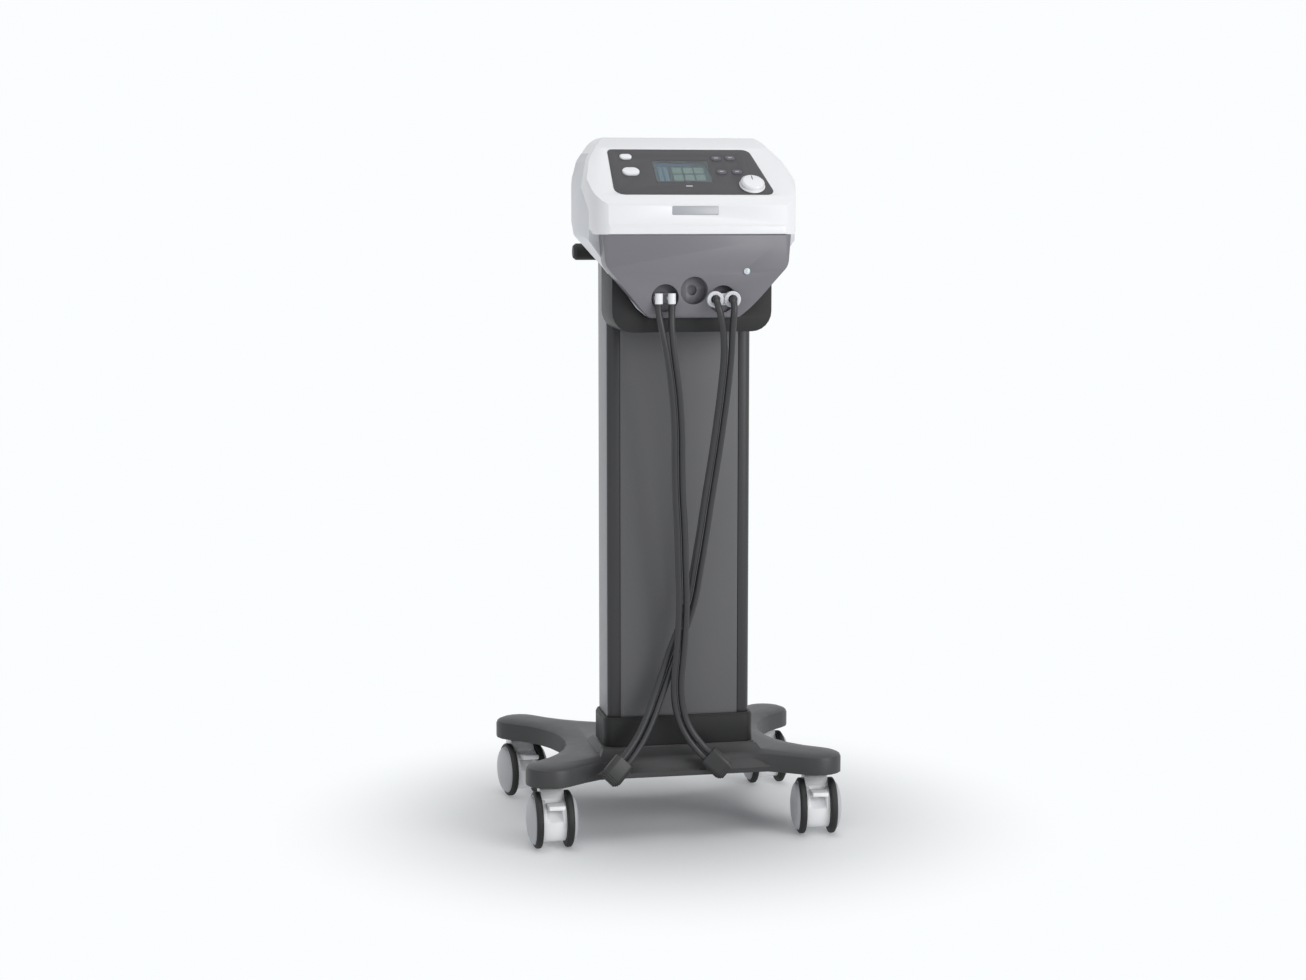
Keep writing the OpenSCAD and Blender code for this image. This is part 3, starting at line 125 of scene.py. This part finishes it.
def add_studio():
    for name, settings in SOFTBOXES.items():
        add_lamp(name, *settings)
    world = bpy.data.worlds.new("studio_white")
    bpy.context.scene.world = world
    world.use_nodes = True
    tree = world.node_tree
    tree.nodes.clear()
    out = tree.nodes.new("ShaderNodeOutputWorld")
    mix = tree.nodes.new("ShaderNodeMixShader")
    seen = tree.nodes.new("ShaderNodeBackground")
    seen.inputs["Color"].default_value = BACKDROP
    lit = tree.nodes.new("ShaderNodeBackground")
    lit.inputs["Color"].default_value = SKY_TINT
    lit.inputs["Strength"].default_value = SKY_STRENGTH
    rays = tree.nodes.new("ShaderNodeLightPath")
    either = tree.nodes.new("ShaderNodeMath")
    either.operation = "MAXIMUM"
    through = tree.nodes.new("ShaderNodeMath")
    through.operation = "MAXIMUM"
    tree.links.new(rays.outputs["Is Camera Ray"], either.inputs[0])
    tree.links.new(rays.outputs["Is Glossy Ray"], either.inputs[1])
    tree.links.new(either.outputs[0], through.inputs[0])
    tree.links.new(rays.outputs["Is Transmission Ray"], through.inputs[1])
    tree.links.new(through.outputs[0], mix.inputs["Fac"])
    tree.links.new(lit.outputs[0], mix.inputs[1])
    tree.links.new(seen.outputs[0], mix.inputs[2])
    tree.links.new(mix.outputs[0], out.inputs["Surface"])


def add_floor():
    """A pale floor that keeps the shadow near the object and turns to plain white further out."""
    mesh = bpy.data.meshes.new("floor")
    form = bmesh.new()
    bmesh.ops.create_circle(form, cap_ends=True, radius=FLOOR_R, segments=96)
    form.to_mesh(mesh)
    form.free()
    floor = bpy.data.objects.new("floor", mesh)
    bpy.context.scene.collection.objects.link(floor)
    floor.location.z = FLOOR_Z
    material = bpy.data.materials.new("studio_floor")
    material.use_nodes = True
    tree = material.node_tree
    shader = tree.nodes["Principled BSDF"]
    shader.inputs["Base Color"].default_value = (0.93, 0.94, 0.95, 1)
    shader.inputs["Roughness"].default_value = 0.75
    out = tree.nodes["Material Output"]
    glow = tree.nodes.new("ShaderNodeEmission")
    glow.inputs["Color"].default_value = BACKDROP
    place = tree.nodes.new("ShaderNodeNewGeometry")
    length = tree.nodes.new("ShaderNodeVectorMath")
    length.operation = "LENGTH"
    fade = tree.nodes.new("ShaderNodeMapRange")
    fade.interpolation_type = "SMOOTHSTEP"
    fade.inputs["From Min"].default_value = FADE_FROM
    fade.inputs["From Max"].default_value = FADE_TO
    mix = tree.nodes.new("ShaderNodeMixShader")
    tree.links.new(place.outputs["Position"], length.inputs[0])
    tree.links.new(length.outputs["Value"], fade.inputs["Value"])
    tree.links.new(fade.outputs["Result"], mix.inputs["Fac"])
    tree.links.new(shader.outputs[0], mix.inputs[1])
    tree.links.new(glow.outputs[0], mix.inputs[2])
    tree.links.new(mix.outputs[0], out.inputs["Surface"])
    mesh.materials.append(material)


# ---------- finishes ----------

def tone(*levels):
    """A colour given as it looks, 0 to 255, turned into linear light."""
    return tuple((v / 255 / 12.92) if v <= 10 else ((v / 255 + 0.055) / 1.055) ** 2.4 for v in levels)


class Finish:
    """A procedural material: an even colour with slight variation, a fine surface grain and soft smudges."""

    def __init__(self, name, colour, rough=0.45, metal=0.0, coat=0.0, grain=0.0, grain_size=0.0008,
                 mottle=0.035, mottle_size=0.05, brushed=None, sheen=0.0, specular=0.5):
        self.material = bpy.data.materials.new(name)
        self.material.use_nodes = True
        self.tree = self.material.node_tree
        self.shader = self.tree.nodes["Principled BSDF"]
        s = self.shader.inputs
        s["Metallic"].default_value = metal
        s["Coat Weight"].default_value = coat
        s["Coat Roughness"].default_value = 0.12
        s["Specular IOR Level"].default_value = specular
        if sheen:
            s["Sheen Weight"].default_value = sheen
        self.place = self.node("ShaderNodeTexCoord").outputs["Object"]
        cloud = self.noise(1 / mottle_size, 3)
        shade = self.node("ShaderNodeMix", data_type="RGBA")
        linear = tone(*colour)
        shade.inputs[6].default_value = (*[c * (1 - mottle) for c in linear], 1)
        shade.inputs[7].default_value = (*[min(1, c * (1 + mottle)) for c in linear], 1)
        self.link(cloud, shade.inputs[0])
        self.colour = shade.outputs[2]
        self.link(self.colour, s["Base Color"])
        smudge = self.node("ShaderNodeMapRange")
        smudge.inputs["To Min"].default_value = max(0.02, rough - 0.05)
        smudge.inputs["To Max"].default_value = min(1, rough + 0.05)
        self.link(self.noise(1 / mottle_size * 2.3, 4), smudge.inputs["Value"])
        self.link(smudge.outputs["Result"], s["Roughness"])
        if grain or brushed:
            bump = self.node("ShaderNodeBump")
            bump.inputs["Strength"].default_value = 0.35
            bump.inputs["Distance"].default_value = grain or 0.00003
            stretch = None
            if brushed:
                stretch = self.node("ShaderNodeMapping")
                stretch.inputs["Scale"].default_value = brushed
                self.link(self.place, stretch.inputs["Vector"])
                stretch = stretch.outputs["Vector"]
            self.link(self.noise(1 / grain_size, 2, stretch), bump.inputs["Height"])
            self.link(bump.outputs["Normal"], s["Normal"])

    def node(self, kind, **settings):
        made = self.tree.nodes.new(kind)
        for key, value in settings.items():
            setattr(made, key, value)
        return made

    def link(self, a, b):
        self.tree.links.new(a, b)

    def lighter_sides(self, colour, from_x):
        """Another colour on what lies further than from_x to the left or right of the middle."""
        place = self.node("ShaderNodeSeparateXYZ")
        self.link(self.place, place.inputs[0])
        away = self.node("ShaderNodeMath", operation="ABSOLUTE")
        self.link(place.outputs["X"], away.inputs[0])
        on_side = self.node("ShaderNodeMath", operation="GREATER_THAN")
        on_side.inputs[1].default_value = from_x
        self.link(away.outputs[0], on_side.inputs[0])
        both = self.node("ShaderNodeMix", data_type="RGBA")
        both.inputs[7].default_value = (*tone(*colour), 1)
        self.link(self.colour, both.inputs[6])
        self.link(on_side.outputs[0], both.inputs[0])
        self.link(both.outputs[2], self.shader.inputs["Base Color"])

    def noise(self, scale, detail, vector=None):
        made = self.node("ShaderNodeTexNoise")
        made.inputs["Scale"].default_value = scale
        made.inputs["Detail"].default_value = detail
        self.link(vector or self.place, made.inputs["Vector"])
        return made.outputs["Fac"]


# name: the colour as it looks, the roughness, and what else the finish has
FINISHES = {
    "white_shell": ((234, 234, 236), 0.34, dict(coat=0.2, grain=0.00004, grain_size=0.0006, mottle=0.015)),
    "light_shell": ((214, 215, 220), 0.42, dict(coat=0.1, grain=0.00005, grain_size=0.0006, mottle=0.02)),
    "grey_shell": ((114, 113, 119), 0.42, dict(coat=0.08, grain=0.00006, grain_size=0.0007, mottle=0.03)),
    "panel_film": ((72, 71, 74), 0.48, dict(specular=0.25, grain=0.00004, grain_size=0.0005, mottle=0.04)),
    "black_plastic": ((36, 36, 37), 0.50, dict(specular=0.3, grain=0.00008, grain_size=0.0008, mottle=0.06)),
    "grip_rubber": ((30, 30, 31), 0.72, dict(grain=0.00018, grain_size=0.0011, mottle=0.08, sheen=0.1)),
    "base_plastic": ((54, 54, 55), 0.46, dict(specular=0.45, grain=0.00014, grain_size=0.0011, mottle=0.05)),
    "column_paint": ((56, 56, 58), 0.42, dict(specular=0.35, grain=0.00007, grain_size=0.0009, mottle=0.03)),
    "panel_paint": ((96, 96, 98), 0.44,
        dict(specular=0.35, grain=0.00007, grain_size=0.0009, mottle=0.04, mottle_size=0.16)),
    "collar_plastic": ((28, 28, 29), 0.48,
        dict(specular=0.3, grain=0.00008, grain_size=0.0009, mottle=0.05)),
    "steel": ((176, 177, 180), 0.30, dict(metal=1.0, brushed=(1, 1, 0.05), mottle=0.04)),
    "badge_metal": ((168, 169, 174), 0.46, dict(metal=0.25, brushed=(0.04, 1, 1), mottle=0.03)),
    "caster_white": ((251, 251, 252), 0.36, dict(coat=0.1, grain=0.00005, grain_size=0.0007, mottle=0.02)),
    "hub_grey": ((188, 188, 192), 0.40, dict(grain=0.00005, grain_size=0.0007, mottle=0.03)),
    "tread_rubber": ((24, 24, 25), 0.62, dict(grain=0.00012, grain_size=0.0010, mottle=0.10)),
    "hose_rubber": ((50, 50, 52), 0.42,
        dict(specular=0.4, grain=0.00005, grain_size=0.0012, mottle=0.06, coat=0.08)),
    "coupling_plastic": ((34, 34, 35), 0.42, dict(grain=0.00006, grain_size=0.0008, mottle=0.05)),
    "circuit_board": ((22, 92, 48), 0.45, dict(mottle=0.15, mottle_size=0.01)),
    "screen_dark": ((50, 60, 70), 0.40, dict(specular=0.3, mottle=0.05, mottle_size=0.02)),
    "screen_pale": ((104, 120, 114), 0.42, dict(specular=0.3, mottle=0.05, mottle_size=0.01)),
    "screen_blue": ((92, 118, 138), 0.42, dict(specular=0.3, mottle=0.04, mottle_size=0.01)),
    "screen_band": ((46, 66, 98), 0.42, dict(specular=0.3, mottle=0.04, mottle_size=0.01)),
    "key_grey": ((96, 96, 102), 0.50, dict(specular=0.3, grain=0.00005, grain_size=0.0006, mottle=0.04)),
    "key_white": ((236, 236, 239), 0.34, dict(coat=0.2, mottle=0.015)),
    "mark_pale": ((196, 197, 202), 0.45, dict(mottle=0.03, mottle_size=0.01)),
    "valve_ivory": ((205, 204, 192), 0.42, dict(grain=0.00005, mottle=0.03)),
    "motor_grey": ((150, 151, 154), 0.35, dict(metal=0.7, brushed=(0.1, 1, 1), mottle=0.05)),
    "air_line": ((214, 216, 214), 0.30, dict(coat=0.2, mottle=0.03)),
}


def make_finishes():
    f = {name: Finish(name, colour, rough, **more) for name, (colour, rough, more) in FINISHES.items()}
    f["column_paint"].lighter_sides((146, 147, 150), COLUMN_SIDE_X)
    lamp = Finish("lamp_lens", (206, 210, 214), 0.16, coat=0.5, mottle=0.02)
    lamp.shader.inputs["Subsurface Weight"].default_value = 0.2
    f["lamp_lens"] = lamp
    glass = Finish("window_glass", (226, 236, 236), 0.06, mottle=0.01)
    glass.shader.inputs["Transmission Weight"].default_value = 1.0
    glass.shader.inputs["IOR"].default_value = 1.2
    f["window_glass"] = glass
    return {name: finish.material for name, finish in f.items()}


# ---------- making pieces ----------

JOIN_WITHIN = 1e-5
FLAT_WITHIN = 1.0                                  # degrees

def add_piece(name, mesh, body):
    piece = bpy.data.objects.new(name, mesh)
    bpy.context.scene.collection.objects.link(piece)
    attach(piece, body)


def settle(piece):
    """Puts what the piece's modifiers make into its mesh and removes them."""
    bpy.context.view_layer.update()
    graph = bpy.context.evaluated_depsgraph_get()
    mesh = bpy.data.meshes.new_from_object(piece.evaluated_get(graph))
    mesh.name = piece.name
    piece.modifiers.clear()
    piece.data = mesh
    return piece


def smooth_faces(mesh, angle=32):
    mesh.shade_smooth()
    mesh.set_sharp_from_angle(angle=math.radians(angle))


def merged_copy(node):
    """A clean mesh of a CAD node: its triangles joined and its flat faces whole."""
    form = bmesh.new()
    form.from_mesh(NODES[node].data)
    bmesh.ops.remove_doubles(form, verts=form.verts, dist=JOIN_WITHIN)
    bmesh.ops.dissolve_degenerate(form, edges=form.edges, dist=JOIN_WITHIN)
    bmesh.ops.dissolve_limit(form, angle_limit=math.radians(FLAT_WITHIN), verts=form.verts, edges=form.edges)
    mesh = bpy.data.meshes.new(node + "_skin")
    form.to_mesh(mesh)
    form.free()
    for name in [a.name for a in mesh.attributes if a.name in ("custom_normal", "sharp_edge", "sharp_face")]:
        mesh.attributes.remove(mesh.attributes[name])
    mesh.materials.clear()
    return mesh


def dress(node, material, round_off=0.0, segments=3, edge_angle=34, smooth_angle=32):
    """A piece with rounded edges that stands for a CAD node."""
    mesh = merged_copy(node)
    mesh.materials.append(material)
    piece = bpy.data.objects.new(node + "_look", mesh)
    bpy.context.scene.collection.objects.link(piece)
    if round_off:
        bevel = piece.modifiers.new("rounded_edges", "BEVEL")
        bevel.width = round_off
        bevel.segments = segments
        bevel.limit_method = "ANGLE"
        bevel.angle_limit = math.radians(edge_angle)
        bevel.use_clamp_overlap = True
        settle(piece)
    smooth_faces(piece.data, smooth_angle)
    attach(piece, BODY_OF[node])
    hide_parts(node)
    return piece


def paint(node, material):
    """A CAD node that keeps its shape gets its material."""
    mesh = NODES[node].data
    mesh.materials.clear()
    mesh.materials.append(material)


def bar_mesh(name, size, place, frame_matrix=Matrix.Identity(4), round_off=0.0003):
    """A bar with rounded edges, its middle at place in the given frame."""
    form = bmesh.new()
    bmesh.ops.create_cube(form, size=1)
    bmesh.ops.scale(form, vec=size, verts=form.verts)
    bmesh.ops.bevel(form, geom=form.edges[:] + form.verts[:], offset=round_off, segments=2, profile=0.6,
                    affect="EDGES", clamp_overlap=True)
    bmesh.ops.translate(form, vec=place, verts=form.verts)
    bmesh.ops.transform(form, matrix=frame_matrix, verts=form.verts)
    mesh = bpy.data.meshes.new(name)
    form.to_mesh(mesh)
    form.free()
    smooth_faces(mesh, 50)
    return mesh


# ---------- geometry node trees for what repeats ----------

def new_tree(name, inputs):
    tree = bpy.data.node_groups.new(name, "GeometryNodeTree")
    for label, kind, value in inputs:
        socket = tree.interface.new_socket(label, in_out="INPUT", socket_type=kind)
        if value is not None:
            socket.default_value = value
    tree.interface.new_socket("Geometry", in_out="OUTPUT", socket_type="NodeSocketGeometry")
    return tree, tree.nodes.new("NodeGroupInput"), tree.nodes.new("NodeGroupOutput")


def ring_tree(material):
    """Ribs that stand round a ring, each one turned towards the middle."""
    tree, given, out = new_tree("ribs_round_a_ring", [
        ("Count", "NodeSocketInt", 24), ("Ring Radius", "NodeSocketFloat", 0.01),
        ("Rib Size", "NodeSocketVector", (0.001, 0.001, 0.004))])
    circle = tree.nodes.new("GeometryNodeMeshCircle")
    rib = tree.nodes.new("GeometryNodeMeshCube")
    for axis in ("Vertices X", "Vertices Y", "Vertices Z"):
        rib.inputs[axis].default_value = 3 if axis == "Vertices Z" else 2
    spread = tree.nodes.new("GeometryNodeInstanceOnPoints")
    place = tree.nodes.new("GeometryNodeInputPosition")
    face = tree.nodes.new("FunctionNodeAlignEulerToVector")
    face.axis = "X"
    face.pivot_axis = "Z"
    real = tree.nodes.new("GeometryNodeRealizeInstances")
    paint_it = tree.nodes.new("GeometryNodeSetMaterial")
    paint_it.inputs["Material"].default_value = material
    link = tree.links.new
    link(given.outputs["Count"], circle.inputs["Vertices"])
    link(given.outputs["Ring Radius"], circle.inputs["Radius"])
    link(given.outputs["Rib Size"], rib.inputs["Size"])
    link(circle.outputs["Mesh"], spread.inputs["Points"])
    link(rib.outputs["Mesh"], spread.inputs["Instance"])
    link(place.outputs["Position"], face.inputs["Vector"])
    link(face.outputs["Rotation"], spread.inputs["Rotation"])
    link(spread.outputs["Instances"], real.inputs["Geometry"])
    link(real.outputs["Geometry"], paint_it.inputs["Geometry"])
    link(paint_it.outputs["Geometry"], out.inputs["Geometry"])
    return tree


def row_tree(material):
    """Bars of one size in rows and columns."""
    tree, given, out = new_tree("bars_in_rows", [
        ("Columns", "NodeSocketInt", 3), ("Rows", "NodeSocketInt", 3),
        ("Field Width", "NodeSocketFloat", 0.01), ("Field Length", "NodeSocketFloat", 0.01),
        ("Bar Size", "NodeSocketVector", (0.001, 0.001, 0.0002))])
    grid = tree.nodes.new("GeometryNodeMeshGrid")
    bar = tree.nodes.new("GeometryNodeMeshCube")
    spread = tree.nodes.new("GeometryNodeInstanceOnPoints")
    real = tree.nodes.new("GeometryNodeRealizeInstances")
    paint_it = tree.nodes.new("GeometryNodeSetMaterial")
    paint_it.inputs["Material"].default_value = material
    link = tree.links.new
    link(given.outputs["Columns"], grid.inputs["Vertices X"])
    link(given.outputs["Rows"], grid.inputs["Vertices Y"])
    link(given.outputs["Field Width"], grid.inputs["Size X"])
    link(given.outputs["Field Length"], grid.inputs["Size Y"])
    link(given.outputs["Bar Size"], bar.inputs["Size"])
    link(grid.outputs["Mesh"], spread.inputs["Points"])
    link(bar.outputs["Mesh"], spread.inputs["Instance"])
    link(spread.outputs["Instances"], real.inputs["Geometry"])
    link(real.outputs["Geometry"], paint_it.inputs["Geometry"])
    link(paint_it.outputs["Geometry"], out.inputs["Geometry"])
    return tree


def grow(name, tree, values, place, body, round_off=0.0):
    """Runs a tree, places what it makes and turns it into a plain mesh."""
    piece = bpy.data.objects.new(name, bpy.data.meshes.new(name))
    bpy.context.scene.collection.objects.link(piece)
    modifier = piece.modifiers.new("grow", "NODES")
    modifier.node_group = tree
    for socket in tree.interface.items_tree:
        if socket.in_out == "INPUT" and socket.name in values:
            modifier[socket.identifier] = values[socket.name]
    settle(piece)
    if round_off:
        bevel = piece.modifiers.new("rounded_edges", "BEVEL")
        bevel.width = round_off
        bevel.segments = 2
        settle(piece)
    piece.data.transform(place)
    smooth_faces(piece.data, 50)
    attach(piece, body)
    return piece


# ---------- hoses ----------

# Middle of each hose pair, with half the way between its two tubes, in millimetres: (x, y, z, dx, dz).
# y is counted from the column's front face.
LEFT_ROUTE = [
    (-44, -112, 764, 9, 0), (-44, -112, 752, 9, 0), (-42, -113, 730, 7, 0), (-37, -111, 700, 5.4, 0),
    (-31, -107, 665, 5.1, 0), (-26, -101, 632, 5.1, 0), (-22, -94, 590, 5.1, 0), (-20, -87, 545, 5.1, 0),
    (-18, -82, 500, 5.1, 0), (-14, -76, 450, 5.1, 0), (-11, -69, 400, 5.1, 0), (-8, -62, 350, 5.1, 0),
    (-8, -56, 305, 5.1, 0), (-10, -51, 265, 5.1, 0), (-12, -46, 230, 5.1, 0), (-10, -42, 198, 5.1, 0.8),
    (-3, -40, 170, 4.8, 1.6), (9, -41, 147, 4.3, 2.8), (24, -44, 128, 3.6, 3.84), (32, -47, 120.5, 3.6, 3.84)]
RIGHT_ROUTE = [
    (36, -114, 770, 12, 0), (36, -122, 770, 12, 0), (36, -128, 766, 11.6, 0), (37, -131, 758, 10.8, 0),
    (38, -131, 748, 9, 0), (40, -127, 727, 6.4, 0), (42, -117, 692, 5.2, 0), (41, -105, 650, 5.1, 0),
    (38, -94, 605, 5.1, 0), (33, -85, 555, 5.1, 0), (26, -74, 495, 5.1, -0.6), (20, -64, 440, 5.1, -0.8),
    (14, -54, 390, 5.1, -0.8), (8, -44, 345, 5, -1.4), (-3, -37, 305, 4.8, -1.8), (-16, -35, 270, 4.7, -2.1),
    (-28, -35, 235, 4.7, -2.1), (-40, -37, 203, 4.6, -2.2), (-53, -43, 173, 4.4, -2.6),
    (-68, -50, 147, 4.1, -3.1), (-84, -57, 127, 3.7, -3.7), (-91, -59.5, 120, 3.7, -3.7)]


STEPS_PER_SPAN = 6


def tube_path(route, side):
    """A smooth line through one tube's points."""
    points = [Vector((x + side * dx, COLUMN_Y / MM + y, z + side * dz)) * MM for x, y, z, dx, dz in route]
    line = []
    for i in range(len(points) - 1):
        a, b, c, d = (points[max(i - 1, 0)], points[i], points[i + 1], points[min(i + 2, len(points) - 1)])
        for k in range(STEPS_PER_SPAN):
            t = k / STEPS_PER_SPAN
            line.append(0.5 * ((2 * b) + (c - a) * t + (2 * a - 5 * b + 4 * c - d) * t * t
                               + (3 * b - a - 3 * c + d) * t ** 3))
    return line + [points[-1]]


def add_hose(name, route, side, node):
    line = tube_path(route, side)
    data = bpy.data.curves.new(name, "CURVE")
    data.dimensions = "3D"
    data.bevel_depth = TUBE_D / 2
    data.bevel_resolution = 5
    data.use_fill_caps = True
    spline = data.splines.new("POLY")
    spline.points.add(len(line) - 1)
    for point, place in zip(spline.points, line):
        point.co = (*place, 1)
    spline.use_smooth = True
    data.materials.append(FINISH["hose_rubber"])
    hose = bpy.data.objects.new(name, data)
    bpy.context.scene.collection.objects.link(hose)
    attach(hose, "stand")
    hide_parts(node)


# ---------- the object's pieces ----------

def dress_stand():
    dress("base_cover", FINISH["base_plastic"], smooth_angle=38)
    dress("column_profile", FINISH["column_paint"], 0.0006, 2)
    dress("column_front_panel", FINISH["panel_paint"], 0.0008, 3, 20)
    dress("column_collar", FINISH["collar_plastic"], 0.0012)
    dress("console_cradle", FINISH["black_plastic"], 0.0010)
    dress("push_handle", FINISH["grip_rubber"], 0.0015)
    for node in ("base_frame", "column_bolts", "caster_stems"):
        paint(node, FINISH["steel"])


def dress_casters():
    for corner in ("fl", "fr", "rl", "rr"):
        dress(corner + "_hood", FINISH["caster_white"], 0.0016)
        dress(corner + "_brake_pedal", FINISH["caster_white"], 0.0010)
        paint(corner + "_axle", FINISH["steel"])
        for side in ("left", "right"):
            dress_wheel(f"{corner}_{side}_wheel")


def dress_wheel(node):
    """A black tread with a light grey domed cover on its outer side."""
    low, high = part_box(node)
    middle = (low + high) / 2
    joint = next(j for j in frame["joints"] if j["child"] == BODY_OF[node])
    centre, axle = Vector(joint["pos_m"]), Vector(joint["axis"])
    outward = axle if (middle - centre).dot(axle) > 0 else -axle
    piece = dress(node, FINISH["tread_rubber"], smooth_angle=40)
    piece.data.materials.append(FINISH["hub_grey"])
    for face in piece.data.polygons:
        reach = (face.center - centre).dot(outward)
        radius = ((face.center - centre) - (face.center - centre).dot(axle) * axle).length
        if radius < WHEEL_R - TREAD_SEEN and reach > (middle - centre).dot(outward):
            face.material_index = 1


def dress_console():
    dress("upper_shell", FINISH["white_shell"], 0.0016, 3, 30, 30)
    dress("front_shell", FINISH["grey_shell"], 0.0010, 3, 34, 32)
    dress("rear_shell", FINISH["light_shell"], 0.0010, 3, 34, 32)
    dress("control_panel", FINISH["panel_film"], 0.0004, 2)
    dress("badge_plate", FINISH["badge_metal"], 0.0003, 2)
    dress("port_block", FINISH["grey_shell"], 0.0006, 2)
    dress("indicator_lamp", FINISH["lamp_lens"], 0.0008, 3)
    dress("mains_inlet", FINISH["black_plastic"], 0.0008)
    dress("mains_switch", FINISH["black_plastic"], 0.0005)
    paint("display_window", FINISH["window_glass"])
    paint("display_module", FINISH["circuit_board"])
    paint("control_board", FINISH["circuit_board"])
    paint("power_supply", FINISH["circuit_board"])
    paint("air_compressor", FINISH["motor_grey"])
    paint("valve_block", FINISH["valve_ivory"])
    paint("inner_tubes", FINISH["air_line"])
    paint("case_screws", FINISH["steel"])


def key_top(node):
    """How far a key's face stands out of the panel."""
    into_panel = PANEL_FRAME.inverted()
    return max((into_panel @ point.co).z for point in NODES[node].data.vertices)


def dress_controls():
    dress("power_button", FINISH["key_white"], 0.0007, 3)
    dress("start_button", FINISH["key_white"], 0.0007, 3)
    for key, place in KEYS.items():
        dress(key, FINISH["key_grey"], 0.0006, 3)
        mark = bar_mesh(key + "_mark", KEY_MARK_SIZE, Vector((*place, key_top(key))), PANEL_FRAME, 0.00005)
        mark.materials.append(FINISH["mark_pale"])
        add_piece(key + "_mark", mark, key)
    dress("dial", FINISH["key_white"], 0.0005, 2)
    dial_place = PANEL_FRAME @ Matrix.Translation(DIAL_AT + Vector((0, 0, 0.0052)))
    grow("dial_grip_ribs", ring_tree(FINISH["key_white"]),
         {"Count": 30, "Ring Radius": 0.0159, "Rib Size": (0.0012, 0.0014, 0.0042)},
         dial_place, "dial", 0.0003)
    mark = bar_mesh("dial_pointer", (0.0012, 0.009, 0.0004), (0, 0.0075, 0.0091),
                    PANEL_FRAME @ Matrix.Translation(DIAL_AT), 0.0001)
    mark.materials.append(FINISH["key_grey"])
    add_piece("dial_pointer", mark, "dial")


def add_screen():
    """A plain display: a header band, a level scale and a pale field, with no lettering."""
    level = -0.0022
    plate = bar_mesh("screen_plate", (DISPLAY_SIZE[0] - 0.0044, DISPLAY_SIZE[1] - 0.0044, 0.0006),
                     DISPLAY_AT + Vector((0, 0, level)), PANEL_FRAME, 0.0002)
    plate.materials.append(FINISH["screen_dark"])
    add_piece("screen_plate", plate, "stand")
    top = level + 0.0004
    band = bar_mesh("screen_header", (0.050, 0.006, 0.0002),
                    DISPLAY_AT + Vector((-0.010, 0.0185, top)), PANEL_FRAME, 0.00005)
    band.materials.append(FINISH["screen_band"])
    add_piece("screen_header", band, "stand")
    scale_place = PANEL_FRAME @ Matrix.Translation(DISPLAY_AT + Vector((-0.0265, -0.004, top)))
    grow("screen_level_scale", row_tree(FINISH["screen_blue"]),
         {"Columns": 2, "Rows": 9, "Field Width": 0.0075, "Field Length": 0.029,
          "Bar Size": (0.0058, 0.0026, 0.0002)},
         scale_place, "stand")
    field_place = PANEL_FRAME @ Matrix.Translation(DISPLAY_AT + Vector((0.009, -0.004, top)))
    grow("screen_fields", row_tree(FINISH["screen_pale"]),
         {"Columns": 3, "Rows": 2, "Field Width": 0.031, "Field Length": 0.0165,
          "Bar Size": (0.0130, 0.0135, 0.0002)},
         field_place, "stand")
    mark = bar_mesh("panel_mark", (0.009, 0.0022, 0.0002),
                    Vector((-0.006, 0.019, PANEL_PROUD + 0.0001)), PANEL_FRAME, 0.00005)
    mark.materials.append(FINISH["mark_pale"])
    add_piece("panel_mark", mark, "stand")


def add_inlet_pins():
    low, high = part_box("mains_inlet")
    middle = (low + high) / 2
    for name, x, z in (("inlet_pin_left", -0.0055, -0.0015), ("inlet_pin_right", 0.0055, -0.0015),
                       ("inlet_pin_earth", 0, 0.0025)):
        place = Vector((middle.x + x, high.y - 0.0165, middle.z + z))
        pin = bar_mesh(name, (0.002, 0.011, 0.004), place, round_off=0.0005)
        pin.materials.append(FINISH["steel"])
        add_piece(name, pin, "stand")


def dress_hoses():
    left_plug = dress("left_hose_plug", FINISH["grey_shell"], 0.0009, 3)
    left_plug.data.materials.append(FINISH["key_white"])
    sleeves = [(LEFT_ROUTE[0][0] + side * LEFT_ROUTE[0][3]) * MM for side in (-1, 1)]
    for face in left_plug.data.polygons:
        beside = min(abs(face.center.x - x) for x in sleeves) < SLEEVE_R
        if beside and face.center.y < COLUMN_Y - SLEEVE_BACK:
            face.material_index = 1
    right_plug = dress("right_hose_plug", FINISH["light_shell"], 0.0009, 3)
    left_end = dress("left_coupling", FINISH["coupling_plastic"], 0.0012, 3)
    right_end = dress("right_coupling", FINISH["coupling_plastic"], 0.0012, 3)
    add_hose("left_hose_outer_tube", LEFT_ROUTE, -1, "left_hose")
    add_hose("left_hose_inner_tube", LEFT_ROUTE, 1, "left_hose")
    add_hose("right_hose_inner_tube", RIGHT_ROUTE, -1, "right_hose")
    add_hose("right_hose_outer_tube", RIGHT_ROUTE, 1, "right_hose")


add_camera()
add_studio()
add_floor()
FINISH = make_finishes()
dress_hoses()
dress_stand()
dress_casters()
dress_console()
dress_controls()
add_screen()
add_inlet_pins()

bpy.context.scene.view_settings.view_transform = "Standard"
